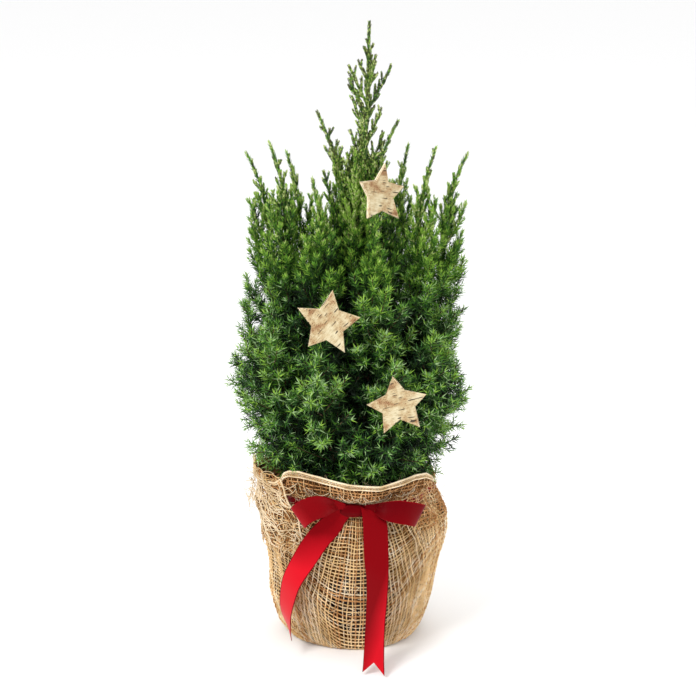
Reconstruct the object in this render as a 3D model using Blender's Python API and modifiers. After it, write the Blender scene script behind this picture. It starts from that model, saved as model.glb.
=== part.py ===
"""Potted columnar juniper, about half a metre tall, in a jute wrap tied with a ribbon bow.

Metres, +Z up. The origin is on the surface the plant stands on, under the middle of the pot,
and -Y is the front, where the bow is. The trunk runs up through the crown. Each bough leaves it,
bends outward and then up, and carries one mass of needle sprays that keeps to its own space.
"""

import math
from typing import NamedTuple

import bmesh
import bpy
from mathutils import Matrix, Vector

MM = 0.001
TOUCH_GAP = 0.3 * MM
CURVE_WELD = 0.01 * MM

# Nursery pot, 12 cm across its rim, and the potting soil in it
FABRIC_THICKNESS = 1.2 * MM
POT_FOOT_Z = FABRIC_THICKNESS + TOUCH_GAP
POT_TOP_Z = 0.114
POT_FOOT_RADIUS = 0.0455
POT_TOP_RADIUS = 0.0590
POT_LIP_RADIUS = 0.0612
POT_LIP_HEIGHT = 0.011
POT_WALL = 1.6 * MM
SOIL_TOP_Z = 0.1035
ROUND_STEPS = 28

# Jute wrap: radius, height and depth of the gathers at stations from the foot to the rim
SACK_STATIONS = (
    (0.0500, 0.0000, 0.0000),
    (0.0550, 0.0040, 0.0000),
    (0.0632, 0.0260, 0.0006),
    (0.0705, 0.0570, 0.0012),
    (0.0745, 0.0860, 0.0015),
    (0.0755, 0.1000, 0.0015),
    (0.0725, 0.1140, 0.0018),
    (0.0642, 0.1255, 0.0022),
    (0.0625, 0.1295, 0.0024),
    (0.0648, 0.1335, 0.0026),
    (0.0740, 0.1460, 0.0034),
    (0.0800, 0.1545, 0.0040),
)
SACK_STEPS = 36
GATHER_WAVES = 9
FINE_WAVES = 14
FRONT = math.radians(-90)
NECK_Z = 0.1295
PINCH_DEPTH = 0.0045
PINCH_HALF_ANGLE = math.radians(30)
PINCH_HALF_HEIGHT = 0.011

# The cloth stands fuller at the neck on the left, and its collar is short on the right
FULL_SIDE = math.radians(180)
FULL_DEPTH = 0.0060
FULL_HALF_ANGLE = math.radians(48)
SHORT_SIDE = math.radians(8)
SHORT_SHARE = 0.62
SHORT_HALF_ANGLE = math.radians(38)

# Satin ribbon, 20 mm wide and drawn in to about half of that in the knot
RIBBON_HALF_WIDTH = 0.010
RIBBON_THICKNESS = 0.6 * MM
BAND_HALF_WIDTH = 0.0040
KNOT_CENTRE = Vector((-0.0030, -0.0676, 0.1308))
KNOT_HALF_SIZE = Vector((0.0112, 0.0048, 0.0064))
TAIL_ROWS = 16
LOOP_ROWS = 18
SWALLOW_NOTCH = 0.010

# Trunk: it starts on the soil, leans a little to the right and carries the leader
TIP_Z = 0.520
TRUNK_FOOT_Z = SOIL_TOP_Z + TOUCH_GAP
TRUNK_TOP_Z = 0.400
TRUNK_LEAN = 0.0105
ROOT_FLARE = 0.0085
TRUNK_FOOT_RADIUS = 0.0052
TRUNK_TOP_RADIUS = 0.0013
FLARE_HEIGHT = 0.006
TRUNK_STEPS = 9

# Boughs: share of the way to the tip that is one bare limb, before its foliage starts
BARE_SHARE = 0.30
BOUGH_FOOT_RADIUS = 0.0019
BOUGH_END_RADIUS = 0.0013
BOUGH_STEPS = 4

# A mass's heart: how far up its stem each ring is, and its radius as a share of the fullest
HEART_RINGS = ((0.10, 0.75), (0.28, 1.0), (0.50, 0.78), (0.72, 0.42), (0.88, 0.20))
STEM_TIP_RADIUS = 0.7 * MM

# Foliage sprays: toothed blades set round the stem at the golden angle
GOLDEN_ANGLE = math.radians(137.508)
SPRAY_THICKNESS = 0.8 * MM
SPRAY_ROOT_HALF_WIDTH = 0.9 * MM
SPRAY_WIDTH_SHARE = 0.25
SPRAY_LEAST = 0.012
LOW_ANGLE = math.radians(62)
HIGH_ANGLE = math.radians(26)
OWN_SPACE_MARGIN = 0.8 * MM
LIMB_MARGIN = 1.2 * MM
CROWN_RADIUS = 0.106
RIM_CLEAR_Z = 0.1605
RIM_CLEAR_RADIUS = 0.052
SOIL_CLEAR_Z = 0.120
SHORTEN = 0.88
SHORTEN_TRIES = 8


class Bough(NamedTuple):
    """One limb: its tip's place, where it leaves the trunk, and the longest spray it carries."""

    name: str
    tip: tuple
    foot_z: float
    elbow_share: float
    elbow_z: float
    heart: float
    spray: float
    sprays: int


LEADER = Bough("leader", (TRUNK_LEAN, 0.0, TIP_Z), TRUNK_TOP_Z, 0.0, 0.0, 0.0038, 0.046, 9)

LOW_BOUGHS = tuple(
    Bough("low_" + name, tip, foot_z, 0.93, 0.168, 0.0108, 0.052, 9)
    for name, tip, foot_z in (
        ("left", (-0.0900, -0.0150, 0.290), 0.119),
        ("left_front", (-0.0700, -0.0530, 0.283), 0.126),
        ("front_left", (-0.0300, -0.0790, 0.268), 0.118),
        ("front_right", (0.0300, -0.0780, 0.254), 0.127),
        ("right_front", (0.0630, -0.0480, 0.272), 0.117),
        ("right", (0.0790, -0.0040, 0.280), 0.125),
        ("back_right", (0.0550, 0.0580, 0.270), 0.118),
        ("back", (0.0040, 0.0790, 0.278), 0.127),
        ("back_left", (-0.0560, 0.0600, 0.288), 0.120),
    )
)

MIDDLE_BOUGHS = tuple(
    Bough("middle_" + name, tip, foot_z, 0.84, 0.222, 0.0102, 0.052, 9)
    for name, tip, foot_z in (
        ("left", (-0.0700, -0.0250, 0.425), 0.166),
        ("left_back", (-0.0900, 0.0150, 0.409), 0.150),
        ("front_left", (-0.0350, -0.0520, 0.400), 0.158),
        ("front", (0.0160, -0.0600, 0.368), 0.148),
        ("right", (0.0640, -0.0220, 0.420), 0.164),
        ("right_back", (0.0910, 0.0110, 0.409), 0.152),
        ("back_right", (0.0440, 0.0600, 0.408), 0.162),
        ("back", (-0.0120, 0.0720, 0.392), 0.150),
        ("back_left", (-0.0580, 0.0560, 0.402), 0.160),
    )
)

HIGH_BOUGHS = tuple(
    Bough("high_" + name, tip, foot_z, 1.05, 0.320, 0.0076, 0.042, 7)
    for name, tip, foot_z in (
        ("left", (-0.0320, 0.0080, 0.445), 0.238),
        ("front", (-0.0010, -0.0260, 0.418), 0.226),
        ("right", (0.0340, 0.0040, 0.438), 0.232),
        ("back", (0.0060, 0.0330, 0.442), 0.244),
    )
)

SIDE_BOUGHS = LOW_BOUGHS + MIDDLE_BOUGHS + HIGH_BOUGHS
ALL_BOUGHS = (LEADER, *SIDE_BOUGHS)


def clear_scene():
    """Remove whatever the file opened with."""
    for obj in list(bpy.data.objects):
        bpy.data.objects.remove(obj, do_unlink=True)


def material(name, colour, roughness, metallic=0.0):
    """A Principled finish of one colour."""
    made = bpy.data.materials.new(name)
    made.use_nodes = True
    shader = made.node_tree.nodes["Principled BSDF"]
    shader.inputs["Base Color"].default_value = (*colour, 1.0)
    shader.inputs["Roughness"].default_value = roughness
    shader.inputs["Metallic"].default_value = metallic
    return made


def jitter(*keys):
    """A repeatable number from -1 to 1 for these keys."""
    mixed = sum(key * step for key, step in zip(keys, (12.9898, 78.233, 37.719, 4.581)))
    return 2.0 * ((math.sin(mixed) * 43758.5453) % 1.0) - 1.0


def lerp(low, high, share):
    """The value that lies this share of the way from low to high."""
    return low + (high - low) * share


def add(mesh, name, finish, collection):
    """A new object of this mesh or curve in the collection."""
    obj = bpy.data.objects.new(name, mesh)
    mesh.materials.append(finish)
    collection.objects.link(obj)
    return obj


def tapered(name, points, radii, resolution, finish, collection):
    """A limb: a curve with filled caps whose radius changes from point to point."""
    curve = bpy.data.curves.new(name, "CURVE")
    curve.dimensions = "3D"
    curve.bevel_depth = MM
    curve.bevel_resolution = resolution
    curve.use_fill_caps = True
    spline = curve.splines.new("POLY")
    spline.points.add(len(points) - 1)
    for target, point, radius in zip(spline.points, points, radii):
        target.co = (*point, 1.0)
        target.radius = radius / MM
    return add(curve, name, finish, collection)


def as_mesh(obj):
    """Swap a curve object for its evaluated shape, with its caps welded on."""
    bpy.context.view_layer.update()
    graph = bpy.context.evaluated_depsgraph_get()
    mesh = bpy.data.meshes.new_from_object(obj.evaluated_get(graph))
    shape = bmesh.new()
    shape.from_mesh(mesh)
    bmesh.ops.remove_doubles(shape, verts=shape.verts, dist=CURVE_WELD)
    bmesh.ops.recalc_face_normals(shape, faces=shape.faces)
    shape.to_mesh(mesh)
    shape.free()
    name, matrix, home = obj.name, obj.matrix_world.copy(), obj.users_collection[0]
    bpy.data.objects.remove(obj, do_unlink=True)
    made = bpy.data.objects.new(name, mesh)
    made.matrix_world = matrix
    home.objects.link(made)
    return made


def turned(name, profile, finish, collection):
    """A solid of revolution from a closed profile of (radius, height), listed top to bottom outside."""
    shape = bmesh.new()
    ring = [shape.verts.new((radius, 0.0, height)) for radius, height in profile]
    for start, end in zip(ring, ring[1:]):
        shape.edges.new((start, end))
    mesh = bpy.data.meshes.new(name)
    shape.to_mesh(mesh)
    shape.free()
    obj = add(mesh, name, finish, collection)
    screw = obj.modifiers.new("turn", "SCREW")
    screw.steps = screw.render_steps = ROUND_STEPS
    screw.use_merge_vertices = True
    screw.merge_threshold = CURVE_WELD
    return obj


def nursery_pot(finish, collection):
    """The thin tapered pot, with its thicker lip, open at the top."""
    inner_top = POT_TOP_RADIUS - POT_WALL
    inner_foot = POT_FOOT_RADIUS - POT_WALL
    lip_foot_z = POT_TOP_Z - POT_LIP_HEIGHT
    profile = (
        (inner_top, POT_TOP_Z),
        (POT_LIP_RADIUS, POT_TOP_Z),
        (POT_LIP_RADIUS, lip_foot_z),
        (POT_TOP_RADIUS, lip_foot_z),
        (POT_FOOT_RADIUS, POT_FOOT_Z),
        (0.0, POT_FOOT_Z),
        (0.0, POT_FOOT_Z + POT_WALL),
        (inner_foot, POT_FOOT_Z + POT_WALL),
        (inner_top, lip_foot_z),
        (inner_top, POT_TOP_Z),
    )
    return turned("nursery_pot", profile, finish, collection)


def potting_soil(finish, collection):
    """The soil, a tapered plug a hair clear of the pot, gently crowned round the trunk's foot."""
    foot_z = POT_FOOT_Z + POT_WALL + TOUCH_GAP
    foot_radius = POT_FOOT_RADIUS - POT_WALL - TOUCH_GAP
    top_radius = POT_TOP_RADIUS - POT_WALL - 2.0 * TOUCH_GAP
    edge_drop = 3.0 * MM
    flat_radius = 2.5 * ROOT_FLARE
    profile = (
        (0.0, SOIL_TOP_Z),
        (flat_radius, SOIL_TOP_Z),
        (top_radius, SOIL_TOP_Z - edge_drop),
        (foot_radius, foot_z),
        (0.0, foot_z),
    )
    return turned("potting_soil", profile, finish, collection)


def sack_at(height):
    """Radius and gather depth of the wrap at this height, between its stations."""
    for (r0, z0, g0), (r1, z1, g1) in zip(SACK_STATIONS, SACK_STATIONS[1:]):
        if height <= z1:
            share = max(0.0, (height - z0) / (z1 - z0))
            return lerp(r0, r1, share), lerp(g0, g1, share)
    return SACK_STATIONS[-1][0], SACK_STATIONS[-1][2]


def beside(azimuth, centre, half_angle):
    """How strongly a local shape at this azimuth acts: 1 at its centre, fading to both sides."""
    turn = (azimuth - centre + math.pi) % (2.0 * math.pi) - math.pi
    return math.exp(-((turn / half_angle) ** 2))


def sack_point(azimuth, height):
    """Outer surface of the wrap: its profile, gathers, pinch, full left side and short right collar."""
    radius, gather = sack_at(height)
    wave = 0.6 * math.cos(GATHER_WAVES * azimuth + 0.7) + 0.4 * math.cos(FINE_WAVES * azimuth + 2.1)
    near_neck = math.exp(-(((height - NECK_Z) / PINCH_HALF_HEIGHT) ** 2))
    radius += gather * wave
    radius -= PINCH_DEPTH * beside(azimuth, FRONT, PINCH_HALF_ANGLE) * near_neck
    radius += FULL_DEPTH * beside(azimuth, FULL_SIDE, FULL_HALF_ANGLE) * near_neck
    if height > NECK_Z:
        kept = 1.0 - SHORT_SHARE * beside(azimuth, SHORT_SIDE, SHORT_HALF_ANGLE)
        radius = lerp(sack_at(NECK_Z)[0], radius, kept)
        height = lerp(NECK_Z, height, kept)
    return Vector((radius * math.cos(azimuth), radius * math.sin(azimuth), height))


def jute_wrap(finish, collection):
    """The cloth round the pot: flat under the foot, loose at the belly, tied, then flared to a rim."""
    shape = bmesh.new()
    rings = []
    azimuths = [2.0 * math.pi * step / SACK_STEPS for step in range(SACK_STEPS)]
    for _, height, _ in SACK_STATIONS:
        rings.append([shape.verts.new(sack_point(azimuth, height)) for azimuth in azimuths])
    shape.faces.new(rings[0])
    for ring in rings:
        for start, end in zip(ring, ring[1:] + ring[:1]):
            if not shape.edges.get((start, end)):
                shape.edges.new((start, end))
    for lower, upper in zip(rings, rings[1:]):
        edges = [
            shape.edges.get((start, end))
            for ring in (lower, upper)
            for start, end in zip(ring, ring[1:] + ring[:1])
        ]
        bmesh.ops.bridge_loops(shape, edges=edges)
    bmesh.ops.recalc_face_normals(shape, faces=shape.faces)
    mesh = bpy.data.meshes.new("jute_wrap")
    shape.to_mesh(mesh)
    shape.free()
    obj = add(mesh, "jute_wrap", finish, collection)
    cloth = obj.modifiers.new("cloth", "SOLIDIFY")
    cloth.thickness = FABRIC_THICKNESS
    cloth.offset = 1.0
    return obj


def smooth_path(points, rows):
    """Rows of points, evenly dealt along a Catmull-Rom curve through the given ones."""
    ends = [2.0 * points[0] - points[1], *points, 2.0 * points[-1] - points[-2]]
    made = []
    for row in range(rows):
        place = row / (rows - 1) * (len(points) - 1)
        index = min(int(place), len(points) - 2)
        t = place - index
        a, b, c, d = ends[index : index + 4]
        made.append(
            0.5 * (2.0 * b + (c - a) * t + (2.0 * a - 5.0 * b + 4.0 * c - d) * t**2
                   + (3.0 * b - a - 3.0 * c + d) * t**3)
        )
    return made


def strip(name, rows, finish, collection):
    """A ribbon: rows of three points across its width, thickened on both sides."""
    shape = bmesh.new()
    grid = [[shape.verts.new(point) for point in row] for row in rows]
    for near, far in zip(grid, grid[1:]):
        for side in (0, 1):
            shape.faces.new((near[side], near[side + 1], far[side + 1], far[side]))
    mesh = bpy.data.meshes.new(name)
    shape.to_mesh(mesh)
    shape.free()
    obj = add(mesh, name, finish, collection)
    satin = obj.modifiers.new("satin", "SOLIDIFY")
    satin.thickness = RIBBON_THICKNESS
    satin.offset = 0.0
    return obj


def across(centre, width, half):
    """Left edge, middle and right edge of a ribbon at this centre."""
    side = width.normalized() * half
    return [centre - side, centre, centre + side]


def ribbon_band(finish, collection):
    """The ribbon round the neck of the wrap, drawn narrow, open behind the knot."""
    rows = []
    for step in range(1, SACK_STEPS):
        azimuth = FRONT + 2.0 * math.pi * step / SACK_STEPS
        behind = [sack_point(azimuth, NECK_Z + lift * MM) for lift in range(-5, 15)]
        reach = max(place.xy.length for place in behind if abs(place.z - NECK_Z) < BAND_HALF_WIDTH + MM)
        reach += RIBBON_THICKNESS / 2.0 + TOUCH_GAP
        centre = Vector((reach * math.cos(azimuth), reach * math.sin(azimuth), NECK_Z))
        rows.append(across(centre, Vector((0.0, 0.0, 1.0)), BAND_HALF_WIDTH))
    return strip("ribbon_band", rows, finish, collection)


def ribbon_knot(finish, collection):
    """The knot: a soft rounded block in front of the gathered neck."""
    shape = bmesh.new()
    bmesh.ops.create_cube(shape, size=2.0)
    for vert in shape.verts:
        vert.co = Vector(
            (vert.co.x * KNOT_HALF_SIZE.x, vert.co.y * KNOT_HALF_SIZE.y, vert.co.z * KNOT_HALF_SIZE.z)
        )
    mesh = bpy.data.meshes.new("ribbon_knot")
    shape.to_mesh(mesh)
    shape.free()
    obj = add(mesh, "ribbon_knot", finish, collection)
    obj.location = KNOT_CENTRE
    soft = obj.modifiers.new("soft", "SUBSURF")
    soft.levels = soft.render_levels = 2
    return obj


def ribbon_loop(name, side, path, end_width, finish, collection):
    """One loop of the bow: out from the knot in front, round its end, and back behind."""
    points = [Vector(point) for point in path]
    centres = smooth_path(points, LOOP_ROWS)
    upright = Vector((0.0, 0.0, 1.0))
    rows = []
    for index, centre in enumerate(centres):
        out = math.sin(math.pi * index / (LOOP_ROWS - 1))
        width = upright.lerp(Vector(end_width), out)
        half = lerp(0.55, 1.0, min(1.0, 1.6 * out)) * RIBBON_HALF_WIDTH
        rows.append(across(centre, width * side, half))
    return strip(name, rows, finish, collection)


def ribbon_tail(name, path, widths, notch, finish, collection):
    """One loose end of the bow; a notch above 0 cuts a swallow tail, below 0 a point."""
    centres = smooth_path([Vector(point) for point in path], TAIL_ROWS)
    sides = smooth_path([Vector(width) for width in widths], TAIL_ROWS)
    rows = []
    for index, (centre, side) in enumerate(zip(centres, sides)):
        half = RIBBON_HALF_WIDTH * lerp(0.62, 1.0, min(1.0, index / 3.0))
        rows.append(across(centre, side, half))
    along = (centres[-1] - centres[-2]).normalized()
    if notch > 0.0:
        rows[-1][1] = rows[-1][1] - along * notch
    else:
        rows[-1][0] = rows[-1][0] + along * notch
        rows[-1][1] = rows[-1][1] + along * notch * 0.5
    return strip(name, rows, finish, collection)


def bow(finish, collection):
    """Band, knot, two loops and two tails."""
    ribbon_band(finish, collection)
    ribbon_knot(finish, collection)
    ribbon_loop(
        "ribbon_loop_left",
        1.0,
        ((-0.0119, -0.0722, 0.1322), (-0.0260, -0.0862, 0.1335), (-0.0400, -0.0865, 0.1285),
         (-0.0485, -0.0812, 0.1245), (-0.0400, -0.0780, 0.1270), (-0.0240, -0.0768, 0.1300),
         (-0.0119, -0.0702, 0.1312)),
        (-0.45, 0.0, 0.85),
        finish,
        collection,
    )
    ribbon_loop(
        "ribbon_loop_right",
        1.0,
        ((0.0057, -0.0722, 0.1322), (0.0260, -0.0862, 0.1318), (0.0430, -0.0800, 0.1270),
         (0.0535, -0.0705, 0.1230), (0.0440, -0.0698, 0.1260), (0.0240, -0.0745, 0.1300),
         (0.0057, -0.0702, 0.1312)),
        (0.40, 0.0, 0.85),
        finish,
        collection,
    )
    ribbon_tail(
        "ribbon_tail_right",
        ((0.0059, -0.0705, 0.1239), (0.0122, -0.0758, 0.1188), (0.0158, -0.0800, 0.1100),
         (0.0172, -0.0832, 0.0861), (0.0168, -0.0868, 0.0657), (0.0154, -0.0912, 0.0474),
         (0.0146, -0.0975, 0.0297), (0.0143, -0.1035, 0.0151), (0.0140, -0.1105, 0.0042)),
        ((1.0, 0.0, -0.55), (1.0, -0.05, -0.2), (1.0, -0.1, 0.0), (1.0, -0.3, 0.0), (1.0, -0.6, 0.0),
         (1.0, -0.75, 0.0), (1.0, -0.7, 0.0), (1.0, -0.4, 0.0), (1.0, -0.15, 0.0)),
        SWALLOW_NOTCH,
        finish,
        collection,
    )
    ribbon_tail(
        "ribbon_tail_left",
        ((-0.0095, -0.0700, 0.1205), (-0.0165, -0.0722, 0.1180), (-0.0245, -0.0752, 0.1125),
         (-0.0354, -0.0758, 0.0973), (-0.0463, -0.0712, 0.0759), (-0.0535, -0.0640, 0.0570),
         (-0.0575, -0.0590, 0.0440), (-0.0585, -0.0580, 0.0320), (-0.0555, -0.0585, 0.0180)),
        ((0.7, 0.0, -0.7), (0.75, 0.0, -0.65), (0.8, -0.15, -0.6), (0.8, -0.3, -0.4), (0.75, -0.4, -0.35),
         (0.7, -0.55, -0.25), (0.6, -0.7, -0.15), (0.45, -0.85, 0.0), (0.35, -0.9, 0.1)),
        -SWALLOW_NOTCH,
        finish,
        collection,
    )


def trunk_point(height):
    """Centre of the trunk's line at this height."""
    share = max(0.0, (height - TRUNK_FOOT_Z) / (TIP_Z - TRUNK_FOOT_Z))
    return Vector((TRUNK_LEAN * share, 0.0, height))


def trunk_radius(height):
    """The trunk's radius: a taper, with a root flare just above the soil."""
    rise = height - TRUNK_FOOT_Z
    taper = lerp(TRUNK_FOOT_RADIUS, TRUNK_TOP_RADIUS, min(1.0, rise / (TRUNK_TOP_Z - TRUNK_FOOT_Z)))
    return taper + (ROOT_FLARE - TRUNK_FOOT_RADIUS) * math.exp(-rise / FLARE_HEIGHT)


def trunk(finish, collection):
    """The single trunk, from a flat cut on the soil to the foot of the leader."""
    shares = [(step / (TRUNK_STEPS - 1)) ** 1.7 for step in range(TRUNK_STEPS)]
    heights = [lerp(TRUNK_FOOT_Z, TRUNK_TOP_Z, share) for share in shares]
    points = [trunk_point(height) for height in heights]
    radii = [trunk_radius(height) for height in heights]
    return tapered("trunk", points, radii, 2, finish, collection)


def bough_point(bough, share):
    """A point on the bough's line, from the trunk's middle at 0 to its tip at 1."""
    tip = Vector(bough.tip)
    foot = trunk_point(bough.foot_z)
    if bough is LEADER:
        return foot.lerp(tip, share)
    elbow = Vector((tip.x * bough.elbow_share, tip.y * bough.elbow_share, bough.elbow_z))
    return foot * (1 - share) ** 2 + elbow * 2 * share * (1 - share) + tip * share**2


def bough_direction(bough, share):
    """Unit direction of the bough's line towards its tip."""
    step = 0.01
    low, high = max(0.0, share - step), min(1.0, share + step)
    return (bough_point(bough, high) - bough_point(bough, low)).normalized()


def foot_share(bough):
    """Where along its line the bough comes clear of the trunk's bark."""
    share = 0.0
    while True:
        point = bough_point(bough, share)
        away = point - trunk_point(point.z)
        slope = abs(bough_direction(bough, share).z)
        if away.length > trunk_radius(point.z) + BOUGH_FOOT_RADIUS * slope + TOUCH_GAP:
            return share
        share += 0.0005


def bough_limb(bough, finish, collection):
    """The bare limb from the trunk to where its foliage starts."""
    start = foot_share(bough)
    parts = [step / (BOUGH_STEPS - 1) for step in range(BOUGH_STEPS)]
    points = [bough_point(bough, lerp(start, BARE_SHARE, part)) for part in parts]
    radii = [lerp(BOUGH_FOOT_RADIUS, BOUGH_END_RADIUS, part) for part in parts]
    return tapered("bough_" + bough.name, points, radii, 1, finish, collection)


def stem_start(bough):
    """Share of the bough's line where its mass begins, a hair past the limb."""
    first = 0.0 if bough is LEADER else BARE_SHARE
    length = (bough_point(bough, first + 0.01) - bough_point(bough, first)).length
    return first + 0.01 * TOUCH_GAP / length


def stem_share(bough, share):
    """The share of the whole line that lies this far up the foliated part."""
    return lerp(stem_start(bough), 1.0, share)


def nearest(point, line):
    """Distance from the point to a line of points."""
    best = math.inf
    for start, end in zip(line, line[1:]):
        along = end - start
        t = max(0.0, min(1.0, (point - start).dot(along) / along.length_squared))
        best = min(best, (point - start - along * t).length)
    return best


def limb_lines():
    """Every limb as a line of points with its radius, for keeping foliage off the wood."""
    trunk_line = [trunk_point(lerp(TRUNK_FOOT_Z, TRUNK_TOP_Z, step / 6)) for step in range(7)]
    lines = [(trunk_line, TRUNK_FOOT_RADIUS)]
    for bough in SIDE_BOUGHS:
        line = [bough_point(bough, BARE_SHARE * step / 4) for step in range(5)]
        lines.append((line, BOUGH_FOOT_RADIUS))
    return lines


def stem_lines():
    """Each bough's foliated stem as a line of points."""
    steps = 8
    return {
        bough: [bough_point(bough, stem_share(bough, step / steps)) for step in range(steps + 1)]
        for bough in ALL_BOUGHS
    }


def in_own_space(bough, points, stems, limbs):
    """Whether points stay in the crown, nearest to this bough's stem, and off the wood and wrap."""
    for point in points:
        around = math.hypot(point.x, point.y)
        floor = RIM_CLEAR_Z if around > RIM_CLEAR_RADIUS else SOIL_CLEAR_Z
        if around > CROWN_RADIUS or not floor < point.z < bough.tip[2]:
            return False
        own = nearest(point, stems[bough])
        for other, line in stems.items():
            least = max(own + OWN_SPACE_MARGIN, 0.9 * other.heart)
            if other is not bough and nearest(point, line) < least + OWN_SPACE_MARGIN:
                return False
        for line, radius in limbs:
            if nearest(point, line) < radius + LIMB_MARGIN:
                return False
    return True


def spray_outline(length):
    """Half outline of a toothed blade: its root, its teeth, pointing forward, and its tip."""
    teeth = 2
    half_width = SPRAY_WIDTH_SHARE * length
    outline = [(0.0, SPRAY_ROOT_HALF_WIDTH), (0.16 * length, SPRAY_ROOT_HALF_WIDTH)]
    for tooth in range(teeth):
        share = tooth / teeth
        reach = half_width * (1.0 - 0.45 * share)
        outline.append((length * lerp(0.36, 0.94, share), reach))
        outline.append((length * lerp(0.38, 0.94, share), 0.42 * reach))
    return outline, (length, 0.0)


def spray_places(root, along, side, length):
    """Points on a spray's outline in space, for testing where it reaches."""
    outline, tip = spray_outline(length)
    flat = outline[2:] + [(u, -v) for u, v in outline[2:]] + [tip]
    return [root + along * u + side * v for u, v in flat]


def spray_blade(name, root, along, side, length, finish, collection):
    """One toothed blade as a flat filled outline with thickness, set in space."""
    outline, tip = spray_outline(length)
    points = outline + [tip] + [(u, -v) for u, v in reversed(outline)]
    curve = bpy.data.curves.new(name, "CURVE")
    curve.dimensions = "2D"
    curve.fill_mode = "BOTH"
    curve.extrude = SPRAY_THICKNESS / 2.0
    spline = curve.splines.new("POLY")
    spline.use_cyclic_u = True
    spline.points.add(len(points) - 1)
    for target, (u, v) in zip(spline.points, points):
        target.co = (u, v, 0.0, 1.0)
    obj = add(curve, name, finish, collection)
    turn = Matrix((along, side, along.cross(side))).transposed().to_4x4()
    obj.matrix_world = Matrix.Translation(root) @ turn
    return as_mesh(obj)


def spray_plan(bough, index, seed, stems, limbs):
    """Root, direction, side and length of one spray, or None where it has no room."""
    share = (index + 0.55) / bough.sprays
    place = stem_share(bough, 0.90 * share)
    root = bough_point(bough, place)
    stem_way = bough_direction(bough, place)
    level = stem_way.orthogonal().normalized()
    turn = GOLDEN_ANGLE * index + math.pi * jitter(seed, 1.0)
    outward = Matrix.Rotation(turn, 3, stem_way) @ level
    angle = lerp(LOW_ANGLE, HIGH_ANGLE, share)
    along = (stem_way * math.cos(angle) + outward * math.sin(angle)).normalized()
    facing = Vector((root.x, root.y, 0.02))
    side = along.cross(facing).normalized()
    length = bough.spray * (1.0 - 0.55 * share) * (1.0 + 0.12 * jitter(seed, index, 2.0))
    for _ in range(SHORTEN_TRIES):
        if length < SPRAY_LEAST:
            return None
        if in_own_space(bough, spray_places(root, along, side, length), stems, limbs):
            return root, along, side, length
        length *= SHORTEN
    return None


def largest_piece(mesh):
    """Drop any loose scrap that a union leaves beside the main body."""
    shape = bmesh.new()
    shape.from_mesh(mesh)
    left = set(shape.verts)
    pieces = []
    while left:
        piece, edge = set(), [left.pop()]
        while edge:
            vert = edge.pop()
            piece.add(vert)
            for link in vert.link_edges:
                other = link.other_vert(vert)
                if other in left:
                    left.remove(other)
                    edge.append(other)
        pieces.append(piece)
    pieces.sort(key=len)
    for piece in pieces[:-1]:
        bmesh.ops.delete(shape, geom=list(piece), context="VERTS")
    shape.to_mesh(mesh)
    shape.free()


def joined(obj, others):
    """Union the object with a collection of others, then remove them."""
    union = obj.modifiers.new("union", "BOOLEAN")
    union.operation = "UNION"
    union.operand_type = "COLLECTION"
    union.collection = others
    union.solver = "EXACT"
    bpy.context.view_layer.update()
    graph = bpy.context.evaluated_depsgraph_get()
    mesh = bpy.data.meshes.new_from_object(obj.evaluated_get(graph))
    obj.modifiers.clear()
    obj.data = mesh
    for other in list(others.objects):
        bpy.data.objects.remove(other, do_unlink=True)
    largest_piece(mesh)
    return obj


def heart(bough, finish, collection):
    """A mass's stem, thin where it carries on from the limb, full at its heart, thin at its tip."""
    first = TRUNK_TOP_RADIUS if bough is LEADER else BOUGH_END_RADIUS
    shares = (0.0, *(share for share, _ in HEART_RINGS), 1.0)
    radii = (first, *(full * bough.heart for _, full in HEART_RINGS), STEM_TIP_RADIUS)
    points = [bough_point(bough, stem_share(bough, share)) for share in shares]
    return as_mesh(tapered("foliage_" + bough.name, points, radii, 1, finish, collection))


def foliage_mass(bough, seed, stems, limbs, finish, collection, workshop):
    """One mass: a stem that carries on from its bough, with toothed sprays sunk into it."""
    body = heart(bough, finish, collection)
    for index in range(bough.sprays):
        plan = spray_plan(bough, index, seed, stems, limbs)
        if plan:
            spray_blade("spray", *plan, finish, workshop)
    return joined(body, workshop)


def build():
    """Make every solid of the plant, its pot, its wrap and its bow."""
    clear_scene()
    plant = bpy.data.collections.new("potted_juniper")
    workshop = bpy.data.collections.new("workshop")
    for collection in (plant, workshop):
        bpy.context.scene.collection.children.link(collection)

    bark = material("bark", (0.22, 0.13, 0.08), 0.85)
    needle = material("needle", (0.10, 0.24, 0.05), 0.55)
    jute = material("jute", (0.58, 0.40, 0.20), 0.90)
    satin = material("satin", (0.55, 0.01, 0.02), 0.40)
    plastic = material("pot_plastic", (0.05, 0.035, 0.03), 0.50)
    soil = material("soil", (0.05, 0.03, 0.02), 0.95)

    nursery_pot(plastic, plant)
    potting_soil(soil, plant)
    jute_wrap(jute, plant)
    bow(satin, plant)
    trunk(bark, plant)
    for bough in SIDE_BOUGHS:
        bough_limb(bough, bark, plant)
    stems, limbs = stem_lines(), limb_lines()
    for seed, bough in enumerate(ALL_BOUGHS):
        foliage_mass(bough, float(seed + 1), stems, limbs, needle, plant, workshop)
    bpy.data.collections.remove(workshop)


build()
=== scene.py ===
"""Looks for a potted columnar juniper in a jute wrap with a ribbon bow and three bark stars.

Metres, +Z up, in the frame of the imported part: the origin is on the floor under the pot, and -Y
is the front. The foliage grows on from the part's limbs by the part's own rule.
"""

import logging
import math
import random
from dataclasses import dataclass, field
from enum import Enum
from typing import Callable

import bmesh
import bpy
import numpy as np
from mathutils import Matrix, Vector


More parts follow.
